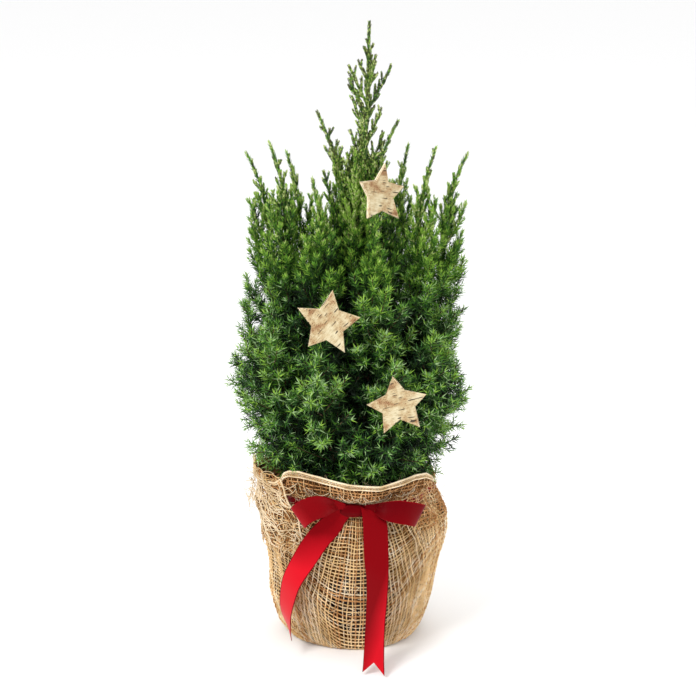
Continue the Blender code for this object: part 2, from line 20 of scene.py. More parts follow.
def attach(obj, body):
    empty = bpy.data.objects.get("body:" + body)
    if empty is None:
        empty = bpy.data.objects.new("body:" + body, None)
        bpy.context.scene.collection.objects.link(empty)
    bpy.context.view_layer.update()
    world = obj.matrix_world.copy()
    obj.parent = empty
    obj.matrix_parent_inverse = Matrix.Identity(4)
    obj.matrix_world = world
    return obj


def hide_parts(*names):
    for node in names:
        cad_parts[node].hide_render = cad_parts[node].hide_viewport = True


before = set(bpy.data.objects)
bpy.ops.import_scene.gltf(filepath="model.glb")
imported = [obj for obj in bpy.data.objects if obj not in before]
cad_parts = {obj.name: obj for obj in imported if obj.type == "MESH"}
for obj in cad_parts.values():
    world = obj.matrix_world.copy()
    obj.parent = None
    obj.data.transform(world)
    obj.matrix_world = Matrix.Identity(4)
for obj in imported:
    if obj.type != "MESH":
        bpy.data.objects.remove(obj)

MM = 0.001
GOLDEN_ANGLE = math.radians(137.508)
LOG = logging.getLogger("juniper")


def linear(code: str) -> tuple:
    """Turn an sRGB hex colour into linear RGBA.

    Args:
        code: six hex digits after a hash sign.

    Returns:
        Four floats, red to alpha.
    """
    parts = [int(code[i : i + 2], 16) / 255.0 for i in (1, 3, 5)]
    flat = [p / 12.92 if p <= 0.04045 else ((p + 0.055) / 1.055) ** 2.4 for p in parts]
    return (*flat, 1.0)


def lerp(low: float, high: float, share: float) -> float:
    """The value this share of the way from low to high."""
    return low + (high - low) * share


def add_node(tree: bpy.types.NodeTree, kind: str, links: dict = None, **settings: object) -> bpy.types.Node:
    """Add a shader node, set its properties and sockets, and link its inputs.

    Args:
        tree: the material's node tree.
        kind: the node's type name without its ShaderNode prefix.
        links: input name or number to an output socket or a plain value.
        settings: the node's own properties.

    Returns:
        The new node.
    """
    made = tree.nodes.new("ShaderNode" + kind)
    for name, value in settings.items():
        setattr(made, name, value)
    for name, value in (links or {}).items():
        if isinstance(value, bpy.types.NodeSocket):
            tree.links.new(value, made.inputs[name])
        else:
            made.inputs[name].default_value = value
    return made


def colour_ramp(tree: bpy.types.NodeTree, factor: bpy.types.NodeSocket, stops: tuple) -> bpy.types.NodeSocket:
    """A colour ramp over a factor.

    Args:
        tree: the material's node tree.
        factor: what drives the ramp.
        stops: pairs of place and hex colour.

    Returns:
        The ramp's colour output.
    """
    ramp = add_node(tree, "ValToRGB", {"Fac": factor})
    elements = ramp.color_ramp.elements
    while len(elements) < len(stops):
        elements.new(0.5)
    for element, (place, code) in zip(elements, stops):
        element.position = place
        element.color = linear(code)
    return ramp.outputs["Color"]


@dataclass(frozen=True)
class Finish:
    """A Principled finish of one real material."""

    name: str
    colour: str
    roughness: float
    sheen: float = 0.0
    specular: float = 0.5

    def start(self) -> tuple:
        """Make the material with its plain values.

        Returns:
            The material, its node tree and its Principled shader.
        """
        made = bpy.data.materials.new(self.name)
        made.use_nodes = True
        shader = made.node_tree.nodes["Principled BSDF"]
        shader.inputs["Base Color"].default_value = linear(self.colour)
        shader.inputs["Roughness"].default_value = self.roughness
        shader.inputs["Sheen Weight"].default_value = self.sheen
        shader.inputs["Specular IOR Level"].default_value = self.specular
        made.diffuse_color = linear(self.colour)
        return made, made.node_tree, shader

    def make(self) -> bpy.types.Material:
        """The finish as one plain colour."""
        return self.start()[0]


@dataclass(frozen=True)
class WaxyNeedle(Finish):
    """A juniper needle: a smooth waxy skin, so a soft highlight; its subsurface weight is set to zero."""

    def make(self) -> bpy.types.Material:
        """The needle finish.

        Returns:
            The material.
        """
        made, _, shader = self.start()
        shader.inputs["Subsurface Weight"].default_value = 0.0
        return made


@dataclass(frozen=True)
class SpunJute(Finish):
    """Spun jute yarn: dry bast fibre, matt, with shade from twist and thin lighter fibres."""

    fibre_mm: float = 0.5

    @property
    def dark(self) -> str:
        """The yarn's colour in its twist."""
        return "#" + "".join(f"{int(int(self.colour[k : k + 2], 16) * 0.70):02x}" for k in (1, 3, 5))

    @property
    def light(self) -> str:
        """The yarn's colour on its loose fibres."""
        return "#" + "".join(f"{min(255, int(int(self.colour[k : k + 2], 16) * 1.22)):02x}" for k in (1, 3, 5))

    def make(self) -> bpy.types.Material:
        """The yarn finish.

        Returns:
            The material.
        """
        made, tree, shader = self.start()
        place = add_node(tree, "TexCoord")
        scale = 1.0 / (self.fibre_mm * MM)
        twist = add_node(
            tree, "TexNoise", {"Vector": place.outputs["Object"], "Scale": scale, "Detail": 3.0, "Roughness": 0.7}
        )
        patches = add_node(tree, "TexNoise", {"Vector": place.outputs["Object"], "Scale": 60.0, "Detail": 2.0})
        shades = colour_ramp(tree, twist.outputs["Fac"], ((0.30, self.dark), (0.50, self.colour), (0.70, self.light)))
        tint = colour_ramp(tree, patches.outputs["Fac"], ((0.35, "#ddd0ba"), (0.65, "#ffffff")))
        mixed = add_node(tree, "MixRGB", {"Fac": 1.0, "Color1": shades, "Color2": tint}, blend_type="MULTIPLY")
        tree.links.new(mixed.outputs["Color"], shader.inputs["Base Color"])
        bump = add_node(tree, "Bump", {"Height": twist.outputs["Fac"], "Strength": 0.5, "Distance": 0.0003})
        tree.links.new(bump.outputs["Normal"], shader.inputs["Normal"])
        return made


@dataclass(frozen=True)
class WovenSatin(Finish):
    """Woven satin ribbon: long floats along the length give a soft sheen, and a fine rib shows across. Above a set
    height its red turns darker as painted shade.
    """

    # The painted shade: its span, its starting height and its slant across; then the rib's size; then the darker red of
    # the painted shade.
    fade: float = 0.032
    painted_shade_z: float = 0.086
    slant: float = 0.0
    rib_mm: float = 0.35
    painted_shade_red: str = "#7c0810"

    def make(self) -> bpy.types.Material:
        """The ribbon finish.

        Returns:
            The material.
        """
        made, tree, shader = self.start()
        shader.inputs["Specular Tint"].default_value = linear("#ff2a30")
        shader.inputs["Sheen Roughness"].default_value = 0.35
        shader.inputs["Sheen Tint"].default_value = linear("#ff3038")
        place = add_node(tree, "TexCoord")
        weave = add_node(
            tree, "TexNoise", {"Vector": place.outputs["Object"], "Scale": 1.0 / (self.rib_mm * MM), "Detail": 2.0}
        )
        split = add_node(tree, "SeparateXYZ", {"Vector": place.outputs["Object"]})
        # Painted shade: the red turns to the darker red above a set height, slanted across and broken up by a soft
        # cloud, where the ribbon lies in shadow.
        cloud = add_node(tree, "TexNoise", {"Vector": place.outputs["Object"], "Scale": 30.0, "Detail": 1.0})
        spread = add_node(tree, "Math", {0: cloud.outputs["Fac"], 1: 0.5 * self.fade}, operation="MULTIPLY")
        across = add_node(tree, "Math", {0: split.outputs["X"], 1: self.slant}, operation="MULTIPLY")
        height = add_node(tree, "Math", {0: split.outputs["Z"], 1: spread.outputs["Value"]}, operation="ADD")
        height = add_node(tree, "Math", {0: height.outputs["Value"], 1: across.outputs["Value"]}, operation="ADD")
        share = add_node(
            tree,
            "MapRange",
            {"Value": height.outputs["Value"], "From Min": self.painted_shade_z, "From Max": self.painted_shade_z + self.fade},
        )
        tone = colour_ramp(tree, share.outputs["Result"], ((0.0, self.colour), (1.0, self.painted_shade_red)))
        tree.links.new(tone, shader.inputs["Base Color"])
        bump = add_node(tree, "Bump", {"Height": weave.outputs["Fac"], "Strength": 0.15, "Distance": 0.0001})
        tree.links.new(bump.outputs["Normal"], shader.inputs["Normal"])
        return made


@dataclass(frozen=True)
class BirchBark(Finish):
    """Peeled birch bark on thin ply: tan and cream sheets with brown slits and darker blotches."""

    slit_mm: float = 7.0

    def make(self) -> bpy.types.Material:
        """The bark face's finish.

        Returns:
            The material.
        """
        made, tree, shader = self.start()
        place = add_node(tree, "TexCoord")
        stretch = add_node(
            tree, "Mapping", {"Vector": place.outputs["Object"], "Scale": (0.16, 1.0, 1.0), "Rotation": (0, 0.05, 0)}
        )
        blotch = add_node(
            tree, "TexNoise", {"Vector": place.outputs["Object"], "Scale": 85.0, "Detail": 7.0, "Roughness": 0.62}
        )
        grain = add_node(
            tree, "TexNoise", {"Vector": stretch.outputs["Vector"], "Scale": 900.0, "Detail": 3.0, "Roughness": 0.7}
        )
        slits = add_node(
            tree,
            "TexNoise",
            {"Vector": stretch.outputs["Vector"], "Scale": 5.0 / (self.slit_mm * MM), "Detail": 0.0},
        )
        specks = add_node(tree, "TexNoise", {"Vector": place.outputs["Object"], "Scale": 1100.0, "Detail": 2.0})
        base = colour_ramp(
            tree, blotch.outputs["Fac"], ((0.38, "#9a7450"), (0.44, "#b39870"), (0.50, self.colour), (0.62, "#d2c7a6"))
        )
        fine = colour_ramp(tree, grain.outputs["Fac"], ((0.36, "#866848"), (0.44, "#e6ddcf"), (0.60, "#ffffff")))
        cuts = colour_ramp(tree, slits.outputs["Fac"], ((0.297, "#2c1a10"), (0.310, "#ffffff")))
        freckles = colour_ramp(tree, specks.outputs["Fac"], ((0.36, "#8c5a3c"), (0.43, "#ffffff")))
        first = add_node(tree, "MixRGB", {"Fac": 0.6, "Color1": base, "Color2": fine}, blend_type="MULTIPLY")
        rough = add_node(tree, "MapRange", {"Value": blotch.outputs["Fac"], "From Min": 0.56, "From Max": 0.42})
        middle = add_node(
            tree,
            "MixRGB",
            {"Fac": rough.outputs["Result"], "Color1": first.outputs["Color"], "Color2": freckles},
            blend_type="MULTIPLY",
        )
        second = add_node(
            tree, "MixRGB", {"Fac": 0.9, "Color1": middle.outputs["Color"], "Color2": cuts}, blend_type="MULTIPLY"
        )
        tree.links.new(second.outputs["Color"], shader.inputs["Base Color"])
        bump = add_node(tree, "Bump", {"Height": grain.outputs["Fac"], "Strength": 0.4, "Distance": 0.0003})
        tree.links.new(bump.outputs["Normal"], shader.inputs["Normal"])
        return made


@dataclass(frozen=True)
class RoughBark(Finish):
    """Young juniper bark: thin stringy scales, red-brown with grey edges."""

    scale_mm: float = 2.0
    shaded: str = "#3a2417"
    pale: str = "#8d7159"

    def make(self) -> bpy.types.Material:
        """The bark finish.

        Returns:
            The material.
        """
        made, tree, shader = self.start()
        place = add_node(tree, "TexCoord")
        long = add_node(tree, "Mapping", {"Vector": place.outputs["Object"], "Scale": (1.0, 1.0, 0.25)})
        grain = add_node(
            tree, "TexNoise", {"Vector": long.outputs["Vector"], "Scale": 1.0 / (self.scale_mm * MM), "Detail": 4.0}
        )
        tone = colour_ramp(tree, grain.outputs["Fac"], ((0.35, self.shaded), (0.55, self.colour), (0.75, self.pale)))
        tree.links.new(tone, shader.inputs["Base Color"])
        bump = add_node(tree, "Bump", {"Height": grain.outputs["Fac"], "Strength": 0.7, "Distance": 0.0006})
        tree.links.new(bump.outputs["Normal"], shader.inputs["Normal"])
        return made


@dataclass(frozen=True)
class MoistPeat(Finish):
    """Moist peat: dark crumbs with lighter fibres."""

    crumb_mm: float = 3.0

    def make(self) -> bpy.types.Material:
        """The soil finish.

        Returns:
            The material.
        """
        made, tree, shader = self.start()
        place = add_node(tree, "TexCoord")
        crumbs = add_node(
            tree, "TexVoronoi", {"Vector": place.outputs["Object"], "Scale": 1.0 / (self.crumb_mm * MM)}
        )
        tone = colour_ramp(tree, crumbs.outputs["Distance"], ((0.1, "#4a3526"), (0.6, self.colour)))
        tree.links.new(tone, shader.inputs["Base Color"])
        bump = add_node(tree, "Bump", {"Height": crumbs.outputs["Distance"], "Strength": 1.0, "Distance": 0.002})
        tree.links.new(bump.outputs["Normal"], shader.inputs["Normal"])
        return made


@dataclass(frozen=True)
class MouldedPlastic(Finish):
    """Thin thermoformed polypropylene, nearly black, with a faint orange-peel skin."""

    def make(self) -> bpy.types.Material:
        """The pot's finish.

        Returns:
            The material.
        """
        made, tree, shader = self.start()
        place = add_node(tree, "TexCoord")
        skin = add_node(tree, "TexNoise", {"Vector": place.outputs["Object"], "Scale": 700.0})
        bump = add_node(tree, "Bump", {"Height": skin.outputs["Fac"], "Strength": 0.1, "Distance": 0.0002})
        tree.links.new(bump.outputs["Normal"], shader.inputs["Normal"])
        return made


class Tone(Enum):
    """Needle tints: three ladders from the shaded heart to the new growth, a stripe and the brown buds. A needle's step
    on its ladder mixes random tone and new growth with painted shade and painted light.
    """

    HEART = "#10220b"
    DEEP = "#264a15"
    MID = "#41701f"
    LEAF = "#5f902c"
    FRESH = "#88b040"
    COLD_HEART = "#10240f"
    COLD_DEEP = "#224524"
    COLD_MID = "#3d6a2e"
    COLD_LEAF = "#5d8b42"
    COLD_FRESH = "#8ab163"
    OLIVE_HEART = "#18220c"
    OLIVE_DEEP = "#36481a"
    OLIVE_MID = "#5f7a30"
    OLIVE_LEAF = "#8ba24c"
    OLIVE_FRESH = "#b8c67c"
    STRIPE = "#98b67e"
    BUD = "#4b5128"


TONES = tuple(Tone)
LADDER_STEPS = 5


def mesh_from(name: str, points: np.ndarray, faces: np.ndarray, slots: np.ndarray = None) -> bpy.types.Mesh:
    """Build a mesh fast from equal-sided faces.

    Args:
        name: the mesh's name.
        points: vertices, n by 3.
        faces: vertex numbers, n by 3 or n by 4.
        slots: material number of each face.

    Returns:
        The mesh, smooth shaded.
    """
    mesh = bpy.data.meshes.new(name)
    sides = faces.shape[1]
    mesh.vertices.add(len(points))
    mesh.vertices.foreach_set("co", np.ascontiguousarray(points, dtype=np.float32).ravel())
    mesh.loops.add(faces.size)
    mesh.loops.foreach_set("vertex_index", np.ascontiguousarray(faces, dtype=np.int32).ravel())
    mesh.polygons.add(len(faces))
    mesh.polygons.foreach_set("loop_start", np.arange(0, faces.size, sides, dtype=np.int32))
    mesh.polygons.foreach_set("use_smooth", np.ones(len(faces), dtype=bool))
    if slots is not None:
        mesh.polygons.foreach_set("material_index", slots.astype(np.int32))
    mesh.update(calc_edges=True)
    mesh.validate()
    return mesh


def place(mesh: bpy.types.Mesh, name: str, finishes: tuple, slot: str, replaces: tuple = ()) -> bpy.types.Object:
    """Put a mesh in the scene as a piece that rides on the part.

    Args:
        mesh: its mesh.
        name: the piece's name.
        finishes: its materials in order.
        slot: the record's material slot; not used.
        replaces: nodes that it stands for.

    Returns:
        The new object.
    """
    obj = bpy.data.objects.new(name, mesh)
    bpy.context.scene.collection.objects.link(obj)
    for finish in finishes:
        mesh.materials.append(finish)
    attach(obj, "root")
    if replaces:
        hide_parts(*replaces)
    LOG.info("%s: %d faces", name, len(mesh.polygons))
    return obj


def tubes(paths: np.ndarray, normals: np.ndarray, radii: np.ndarray, closed: bool, sides: int = 4) -> tuple:
    """Tubes along many paths of equal length.

    Args:
        paths: n by m by 3 points.
        normals: n by m by 3 unit vectors away from the surface.
        radii: n by m radii.
        closed: whether each path joins its start.
        sides: how many sides each tube has.

    Returns:
        Vertices and quad faces.
    """
    if closed:
        tangent = np.roll(paths, -1, axis=1) - np.roll(paths, 1, axis=1)
    else:
        tangent = np.gradient(paths, axis=1)
    side = np.cross(tangent, normals)
    side /= np.maximum(np.linalg.norm(side, axis=2, keepdims=True), 1e-9)
    up = np.cross(side, tangent)
    up /= np.maximum(np.linalg.norm(up, axis=2, keepdims=True), 1e-9)
    reach = radii[:, :, None]
    turns = [2.0 * math.pi * k / sides for k in range(sides)]
    ring = np.stack([paths + (up * math.cos(t) + side * math.sin(t)) * reach for t in turns], axis=2)
    count, length = paths.shape[:2]
    points = ring.reshape(-1, 3)
    starts = np.arange(count)[:, None] * length
    along = np.arange(length if closed else length - 1)
    here = (starts + along[None, :]).ravel()
    there = (starts + (along[None, :] + 1) % length).ravel()
    faces = [
        np.stack(
            (here * sides + k, here * sides + (k + 1) % sides, there * sides + (k + 1) % sides, there * sides + k),
            axis=1,
        )
        for k in range(sides)
    ]
    return points, np.concatenate(faces)


def noise(rng: np.random.Generator, rows: int, along: np.ndarray, waves: tuple, size: float) -> np.ndarray:
    """Smooth random wobble, one line of it for each row.

    Args:
        rng: the seeded generator.
        rows: how many lines.
        along: where along its line each value lies.
        waves: how many waves each term has.
        size: the greatest sum of the terms.

    Returns:
        Rows by len(along) values.
    """
    total = np.zeros((rows, len(along)))
    for wave in waves:
        phase = rng.uniform(0, 2 * math.pi, (rows, 1))
        pitch = wave * rng.uniform(0.8, 1.2, (rows, 1))
        total += np.sin(along[None, :] * pitch * 2 * math.pi + phase)
    return total * size / len(waves)


@dataclass
class JuteWrap:
    """The cloth round the pot: an open weave pulled up to the knot, a hemmed lip, folds and frays."""

    front: tuple = (
        (0.0000, 0.0530),
        (0.0040, 0.0550),
        (0.0260, 0.0632),
        (0.0570, 0.0705),
        (0.0860, 0.0745),
        (0.1000, 0.0755),
        (0.1140, 0.0725),
        (0.1255, 0.0642),
        (0.1295, 0.0625),
    )
    left: tuple = (
        (0.0000, 0.0560),
        (0.0100, 0.0643),
        (0.0237, 0.0684),
        (0.0374, 0.0718),
        (0.0646, 0.0726),
        (0.0782, 0.0740),
        (0.0917, 0.0772),
        (0.1051, 0.0765),
        (0.1185, 0.0720),
        (0.1295, 0.0688),
    )
    right: tuple = (
        (0.0000, 0.0490),
        (0.0100, 0.0560),
        (0.0237, 0.0602),
        (0.0374, 0.0635),
        (0.0511, 0.0659),
        (0.0646, 0.0692),
        (0.0782, 0.0725),
        (0.0917, 0.0749),
        (0.1051, 0.0742),
        (0.1185, 0.0675),
        (0.1295, 0.0615),
    )
    hem: tuple = (
        (-180.0, 0.1410, 0.0850),
        (-160.0, 0.1420, 0.0832),
        (-146.0, 0.1440, 0.0795),
        (-140.6, 0.1498, 0.0780),
        (-137.8, 0.1553, 0.0790),
        (-132.7, 0.1589, 0.0800),
        (-125.0, 0.1606, 0.0800),
        (-111.6, 0.1588, 0.0800),
        (-93.7, 0.1536, 0.0795),
        (-75.9, 0.1512, 0.0795),
        (-63.2, 0.1545, 0.0790),
        (-52.0, 0.1565, 0.0780),
        (-42.7, 0.1550, 0.0770),
        (-35.5, 0.1500, 0.0735),
        (-20.0, 0.1400, 0.0670),
        (0.0, 0.1350, 0.0640),
        (20.0, 0.1370, 0.0670),
        (45.0, 0.1415, 0.0750),
        (90.0, 0.1450, 0.0790),
        (135.0, 0.1440, 0.0810),
        (180.0, 0.1410, 0.0850),
    )
    flap_edge: tuple = ((0.1010, -124.5), (0.1061, -125.4), (0.1173, -127.1), (0.1305, -133.4), (0.1404, -137.8), (0.1498, -140.6))
    weft_levels: tuple = (
        (0.00, -0.0040, -0.0460),
        (0.12, 0.0180, -0.0300),
        (0.30, 0.0520, -0.0080),
        (0.36, 0.0630, 0.0010),
        (0.45, 0.0770, 0.0215),
        (0.55, 0.0910, 0.0435),
        (0.65, 0.1030, 0.0640),
        (0.75, 0.1130, 0.0830),
        (0.85, 0.1210, 0.1010),
        (0.93, 0.1260, 0.1150),
        (1.00, 0.1285, 0.1275),
    )
    neck_z: float = 0.1295
    knot_turn: float = -88.0
    yarn_radius: float = 0.55 * MM
    crimp: float = 0.50 * MM
    fill: float = 0.22
    warps: int = 140
    wefts: int = 60
    seed: int = 5
    finishes: list = field(default_factory=list)

    def dress(self) -> None:
        """Make the yarn finishes: three bleach levels of one yarn, and two for yarns in the shade."""
        self.finishes = [
            SpunJute("spun_jute_natural", "#fcd3a0", 0.9, 0.1, 0.2).make(),
            SpunJute("spun_jute_light", "#ffe8c4", 0.9, 0.1, 0.2).make(),
            SpunJute("spun_jute_dark", "#cf9c68", 0.9, 0.1, 0.2).make(),
            SpunJute("spun_jute_shaded", "#9a6c42", 0.95, 0.0, 0.1).make(),
            SpunJute("spun_jute_inner", "#74492b", 0.95, 0.0, 0.1).make(),
        ]

    @staticmethod
    def beside(azimuth: np.ndarray, centre: float, half: float) -> np.ndarray:
        """How strongly a local shape acts at each azimuth, in degrees for centre and half."""
        turn = (azimuth - math.radians(centre) + math.pi) % (2 * math.pi) - math.pi
        return np.exp(-((turn / math.radians(half)) ** 2))

    def turn(self, azimuth: np.ndarray) -> np.ndarray:
        """Angle from the knot, from -pi to pi."""
        return (azimuth - math.radians(self.knot_turn) + math.pi) % (2 * math.pi) - math.pi

    def surface(self, azimuth: np.ndarray, height: np.ndarray, out: float = 0.0) -> np.ndarray:
        """Points on the cloth below the neck, with its folds, or under the pot where the height is below 0.

        Args:
            azimuth: angle round the pot.
            height: level.
            out: extra distance from the axis.

        Returns:
            Points, in the shape of the input with 3 added.
        """
        level = np.clip(height, 0.0, self.neck_z)
        along, across = np.cos(azimuth), np.sin(azimuth)
        radius = across**2 * np.interp(level, *zip(*self.front))
        radius = radius + np.minimum(along, 0.0) ** 2 * np.interp(level, *zip(*self.left))
        radius = radius + np.maximum(along, 0.0) ** 2 * np.interp(level, *zip(*self.right))
        near = np.exp(-(((level - self.neck_z) / 0.011) ** 2))
        radius = radius - 0.0045 * self.beside(azimuth, -90, 30) * near
        wave = 0.6 * np.cos(9 * azimuth + 0.7) + 0.4 * np.cos(14 * azimuth + 2.1)
        radius = radius + 0.0022 * wave * np.clip(level / self.neck_z, 0, 1) ** 2
        turn = self.turn(azimuth)
        fall = self.neck_z - level
        polar = np.arctan2(0.072 * turn, fall + 0.004)
        far = np.hypot(0.072 * turn, fall)
        pleat = np.cos(12.0 * polar + 0.6) + 0.6 * np.cos(19.0 * polar + 2.0)
        radius = radius + 0.0011 * pleat * np.exp(-(((far - 0.032) / 0.026) ** 2))
        crease = np.exp(-(((level - 0.076) / 0.024) ** 2))
        radius = radius - 0.0050 * self.beside(azimuth, -139, 6) * crease
        radius = radius + 0.0016 * self.beside(azimuth, -129, 7) * crease
        lean = azimuth + 5.0 * (level - 0.06)
        side = self.beside(azimuth, -168, 34) + 0.7 * self.beside(azimuth, 0, 60) + 0.7 * self.beside(azimuth, 100, 50)
        radius = radius + 0.0011 * side * np.sin(17.0 * lean) * np.clip(level / 0.03, 0, 1)
        radius = radius + np.minimum(height, 0.0) + out
        rise = np.where(height < 0.0, 0.0007, np.maximum(height, 0.0007))
        return np.stack((radius * np.cos(azimuth), radius * np.sin(azimuth), rise), axis=-1)

    def collar(self, azimuth: np.ndarray, share: np.ndarray, out: float = 0.0) -> np.ndarray:
        """Points on the collar, from the neck at share 0 to the hem at share 1."""
        degrees = np.degrees((azimuth + math.pi) % (2 * math.pi) - math.pi)
        place_on, tops, reaches = zip(*self.hem)
        top, reach = np.interp(degrees, place_on, tops), np.interp(degrees, place_on, reaches)
        foot = self.surface(azimuth, np.full_like(azimuth, self.neck_z))
        inner = np.hypot(foot[..., 0], foot[..., 1])
        bent = share**0.75 + 0.10 * np.sin(math.pi * share)
        radius = inner + (reach - inner) * bent + out
        middle = np.sin(math.pi * np.clip(share, 0.0, 1.0))
        crumple = np.sin(11.0 * azimuth + 9.0 * share) + np.sin(23.0 * azimuth - 14.0 * share + 1.3)
        radius = radius + 0.0011 * crumple * middle + 0.0034 * self.beside(azimuth, -92, 36) * middle
        rise = self.neck_z + 0.001 + (top - self.neck_z - 0.001) * share
        return np.stack((radius * np.cos(azimuth), radius * np.sin(azimuth), rise), axis=-1)

    def flap(self, share: np.ndarray, level: np.ndarray) -> np.ndarray:
        """Points on the loose fold that hangs over the neck on the left."""
        edge = np.interp(level, *zip(*self.flap_edge))
        degrees = -222.0 + (edge + 222.0) * share
        azimuth = np.radians(degrees)
        bulge = np.interp(
            level,
            (0.086, 0.092, 0.1051, 0.1185, 0.1250, 0.1319, 0.1452, 0.155),
            (0.0772, 0.0782, 0.0795, 0.0828, 0.0822, 0.0806, 0.0838, 0.0855),
        )
        front = np.interp(level, (0.086, 0.1061, 0.1173, 0.1305, 0.1498), (0.0770, 0.0772, 0.0776, 0.0784, 0.0784))
        mixed = np.clip((degrees + 165.0) / 32.0, 0.0, 1.0)
        mixed = mixed * mixed * (3.0 - 2.0 * mixed)
        radius = bulge + (front - bulge) * mixed
        fold = np.sin(0.42 * degrees + 110.0 * level) + 0.7 * np.sin(0.23 * degrees - 190.0 * level + 1.0)
        radius = radius + 0.0010 * fold
        back = np.clip(1.0 - share / 0.12, 0.0, 1.0)
        radius = radius - 0.006 * back
        return np.stack((radius * np.cos(azimuth), radius * np.sin(azimuth), level + 0 * azimuth), axis=-1)

    def fold(self, share: np.ndarray, part: np.ndarray) -> np.ndarray:
        """Points on the crumpled fold that covers the ribbon band on the right."""
        degrees = -50.0 + 84.0 * share
        azimuth = np.radians(degrees)
        top = np.interp(degrees, (-50, -35, -20, 0, 34), (0.1450, 0.1470, 0.1420, 0.1390, 0.1390))
        level = top + (0.1055 - top) * part
        body = self.surface(azimuth, np.minimum(level, self.neck_z))
        inner = np.hypot(body[..., 0], body[..., 1])
        neck = self.surface(azimuth, np.full_like(azimuth, self.neck_z))
        held = np.hypot(neck[..., 0], neck[..., 1]) + 0.0024
        radius = np.maximum(inner + 0.0012, held)
        crumple = np.sin(0.50 * degrees + 9.0 * part) + np.sin(0.31 * degrees - 14.0 * part + 2.0)
        radius = radius + 0.0007 * crumple + 0.0012 * np.sin(math.pi * part)
        return np.stack((radius * np.cos(azimuth), radius * np.sin(azimuth), level), axis=-1)

    def weave(
        self, name: str, grid: np.ndarray, shades: tuple, closed: bool, replaces: tuple = (), sides: int = 4
    ) -> None:
        """Weave yarns over and under along a grid of crossings.

        Args:
            name: start of its pieces' names.
            grid: crossings, warps by wefts by 3.
            shades: numbers of the finishes to deal out.
            closed: whether the wefts go all round.
            replaces: the nodes that it stands for.
            sides: how many sides each yarn has.
        """
        warps, wefts = grid.shape[:2]
        rng = np.random.default_rng(self.seed + warps * 7 + wefts)
        normal = grid * np.array([1.0, 1.0, 0.0])
        normal /= np.linalg.norm(normal, axis=2, keepdims=True)
        over = np.where((np.arange(warps)[:, None] + np.arange(wefts)[None, :]) % 2, 1.0, -1.0)
        shift = over[:, :, None] * normal * self.crimp
        lift = normal * self.yarn_radius
        thick = np.clip(rng.normal(1.0, 0.20, (warps, 1)), 0.62, 1.6) * (1.0 + noise(rng, warps, np.linspace(0, 1, wefts), (7.0, 15.0), 0.25))
        thin = np.clip(rng.normal(0.95, 0.20, (wefts, 1)), 0.62, 1.6) * (1.0 + noise(rng, wefts, np.linspace(0, 1, warps), (21.0, 40.0), 0.25))
        thick = np.minimum(thick * self.yarn_radius, self.fill * self.spacing(grid))
        thin = np.minimum(thin * self.yarn_radius, self.fill * self.spacing(grid.transpose(1, 0, 2)))
        sets = {
            "warps": (grid + lift + shift, normal, thick, False),
            "wefts": ((grid + lift - shift).transpose(1, 0, 2), normal.transpose(1, 0, 2), thin, closed),
        }
        for part, (path, face, radii, loop) in sets.items():
            points, faces = tubes(path, face, radii, loop, sides)
            points[:, 2] = np.maximum(points[:, 2], 0.0)
            count, length = path.shape[:2]
            picked = rng.choice(shades, count)
            slots = np.tile(np.repeat(picked, length if loop else length - 1), sides)
            mesh = mesh_from(name + "_" + part, points, faces, slots)
            place(mesh, name + "_" + part, tuple(self.finishes), "jute", replaces)

    @staticmethod
    def spacing(grid: np.ndarray) -> np.ndarray:
        """Distance from each yarn to the next one, square to the yarn, at every crossing.

        Args:
            grid: points, yarns by places along them by 3.

        Returns:
            Distances, yarns by places.
        """
        way = np.gradient(grid, axis=1)
        way /= np.maximum(np.linalg.norm(way, axis=2, keepdims=True), 1e-9)
        gap = np.diff(grid, axis=0)
        gap = gap - np.sum(gap * way[:-1], axis=2, keepdims=True) * way[:-1]
        gap = np.linalg.norm(gap, axis=2)
        return np.minimum(np.vstack((gap, gap[-1:])), np.vstack((gap[:1], gap)))

    def crossings(self, warps: int, wefts: int, pull: float, out: float) -> np.ndarray:
        """Where the body's yarns cross, gathered towards the knot and sagging below it.

        Args:
            warps: how many warps go round.
            wefts: how many wefts there are.
            pull: how strongly the knot gathers the cloth.
            out: how far it lies outside the wrap's surface.

        Returns:
            Crossings, warps by wefts by 3.
        """
        rng = np.random.default_rng(self.seed + warps)
        rows = np.linspace(0.0, 1.0, wefts)
        spin = np.linspace(0.0, 2.0 * math.pi, warps, endpoint=False)
        spin = (spin + noise(rng, warps, rows, (1.0, 2.3, 5.0), 0.35 * spin[1]).T).T
        shares, sides, fronts = zip(*self.weft_levels)
        wander = noise(rng, wefts, np.linspace(0, 1, warps), (3.0, 8.0, 17.0), 0.0008).T
        side = np.interp(rows, shares, sides)[None, :] + wander
        front = np.interp(rows, shares, fronts)[None, :] + wander
        fall = 1.0 - np.clip(front / self.neck_z, 0.0, 1.0)
        turn = self.turn(spin)
        fan = 0.40 + 1.10 * np.minimum(fall, 0.78)
        azimuth = spin + pull * turn * np.exp(-((turn / 0.85) ** 2)) * (fan - 1.0)
        hang = np.exp(-np.abs(self.turn(azimuth) / 0.74) ** 3)
        level = side + pull * (front - side) * hang
        return self.surface(azimuth, level, out)

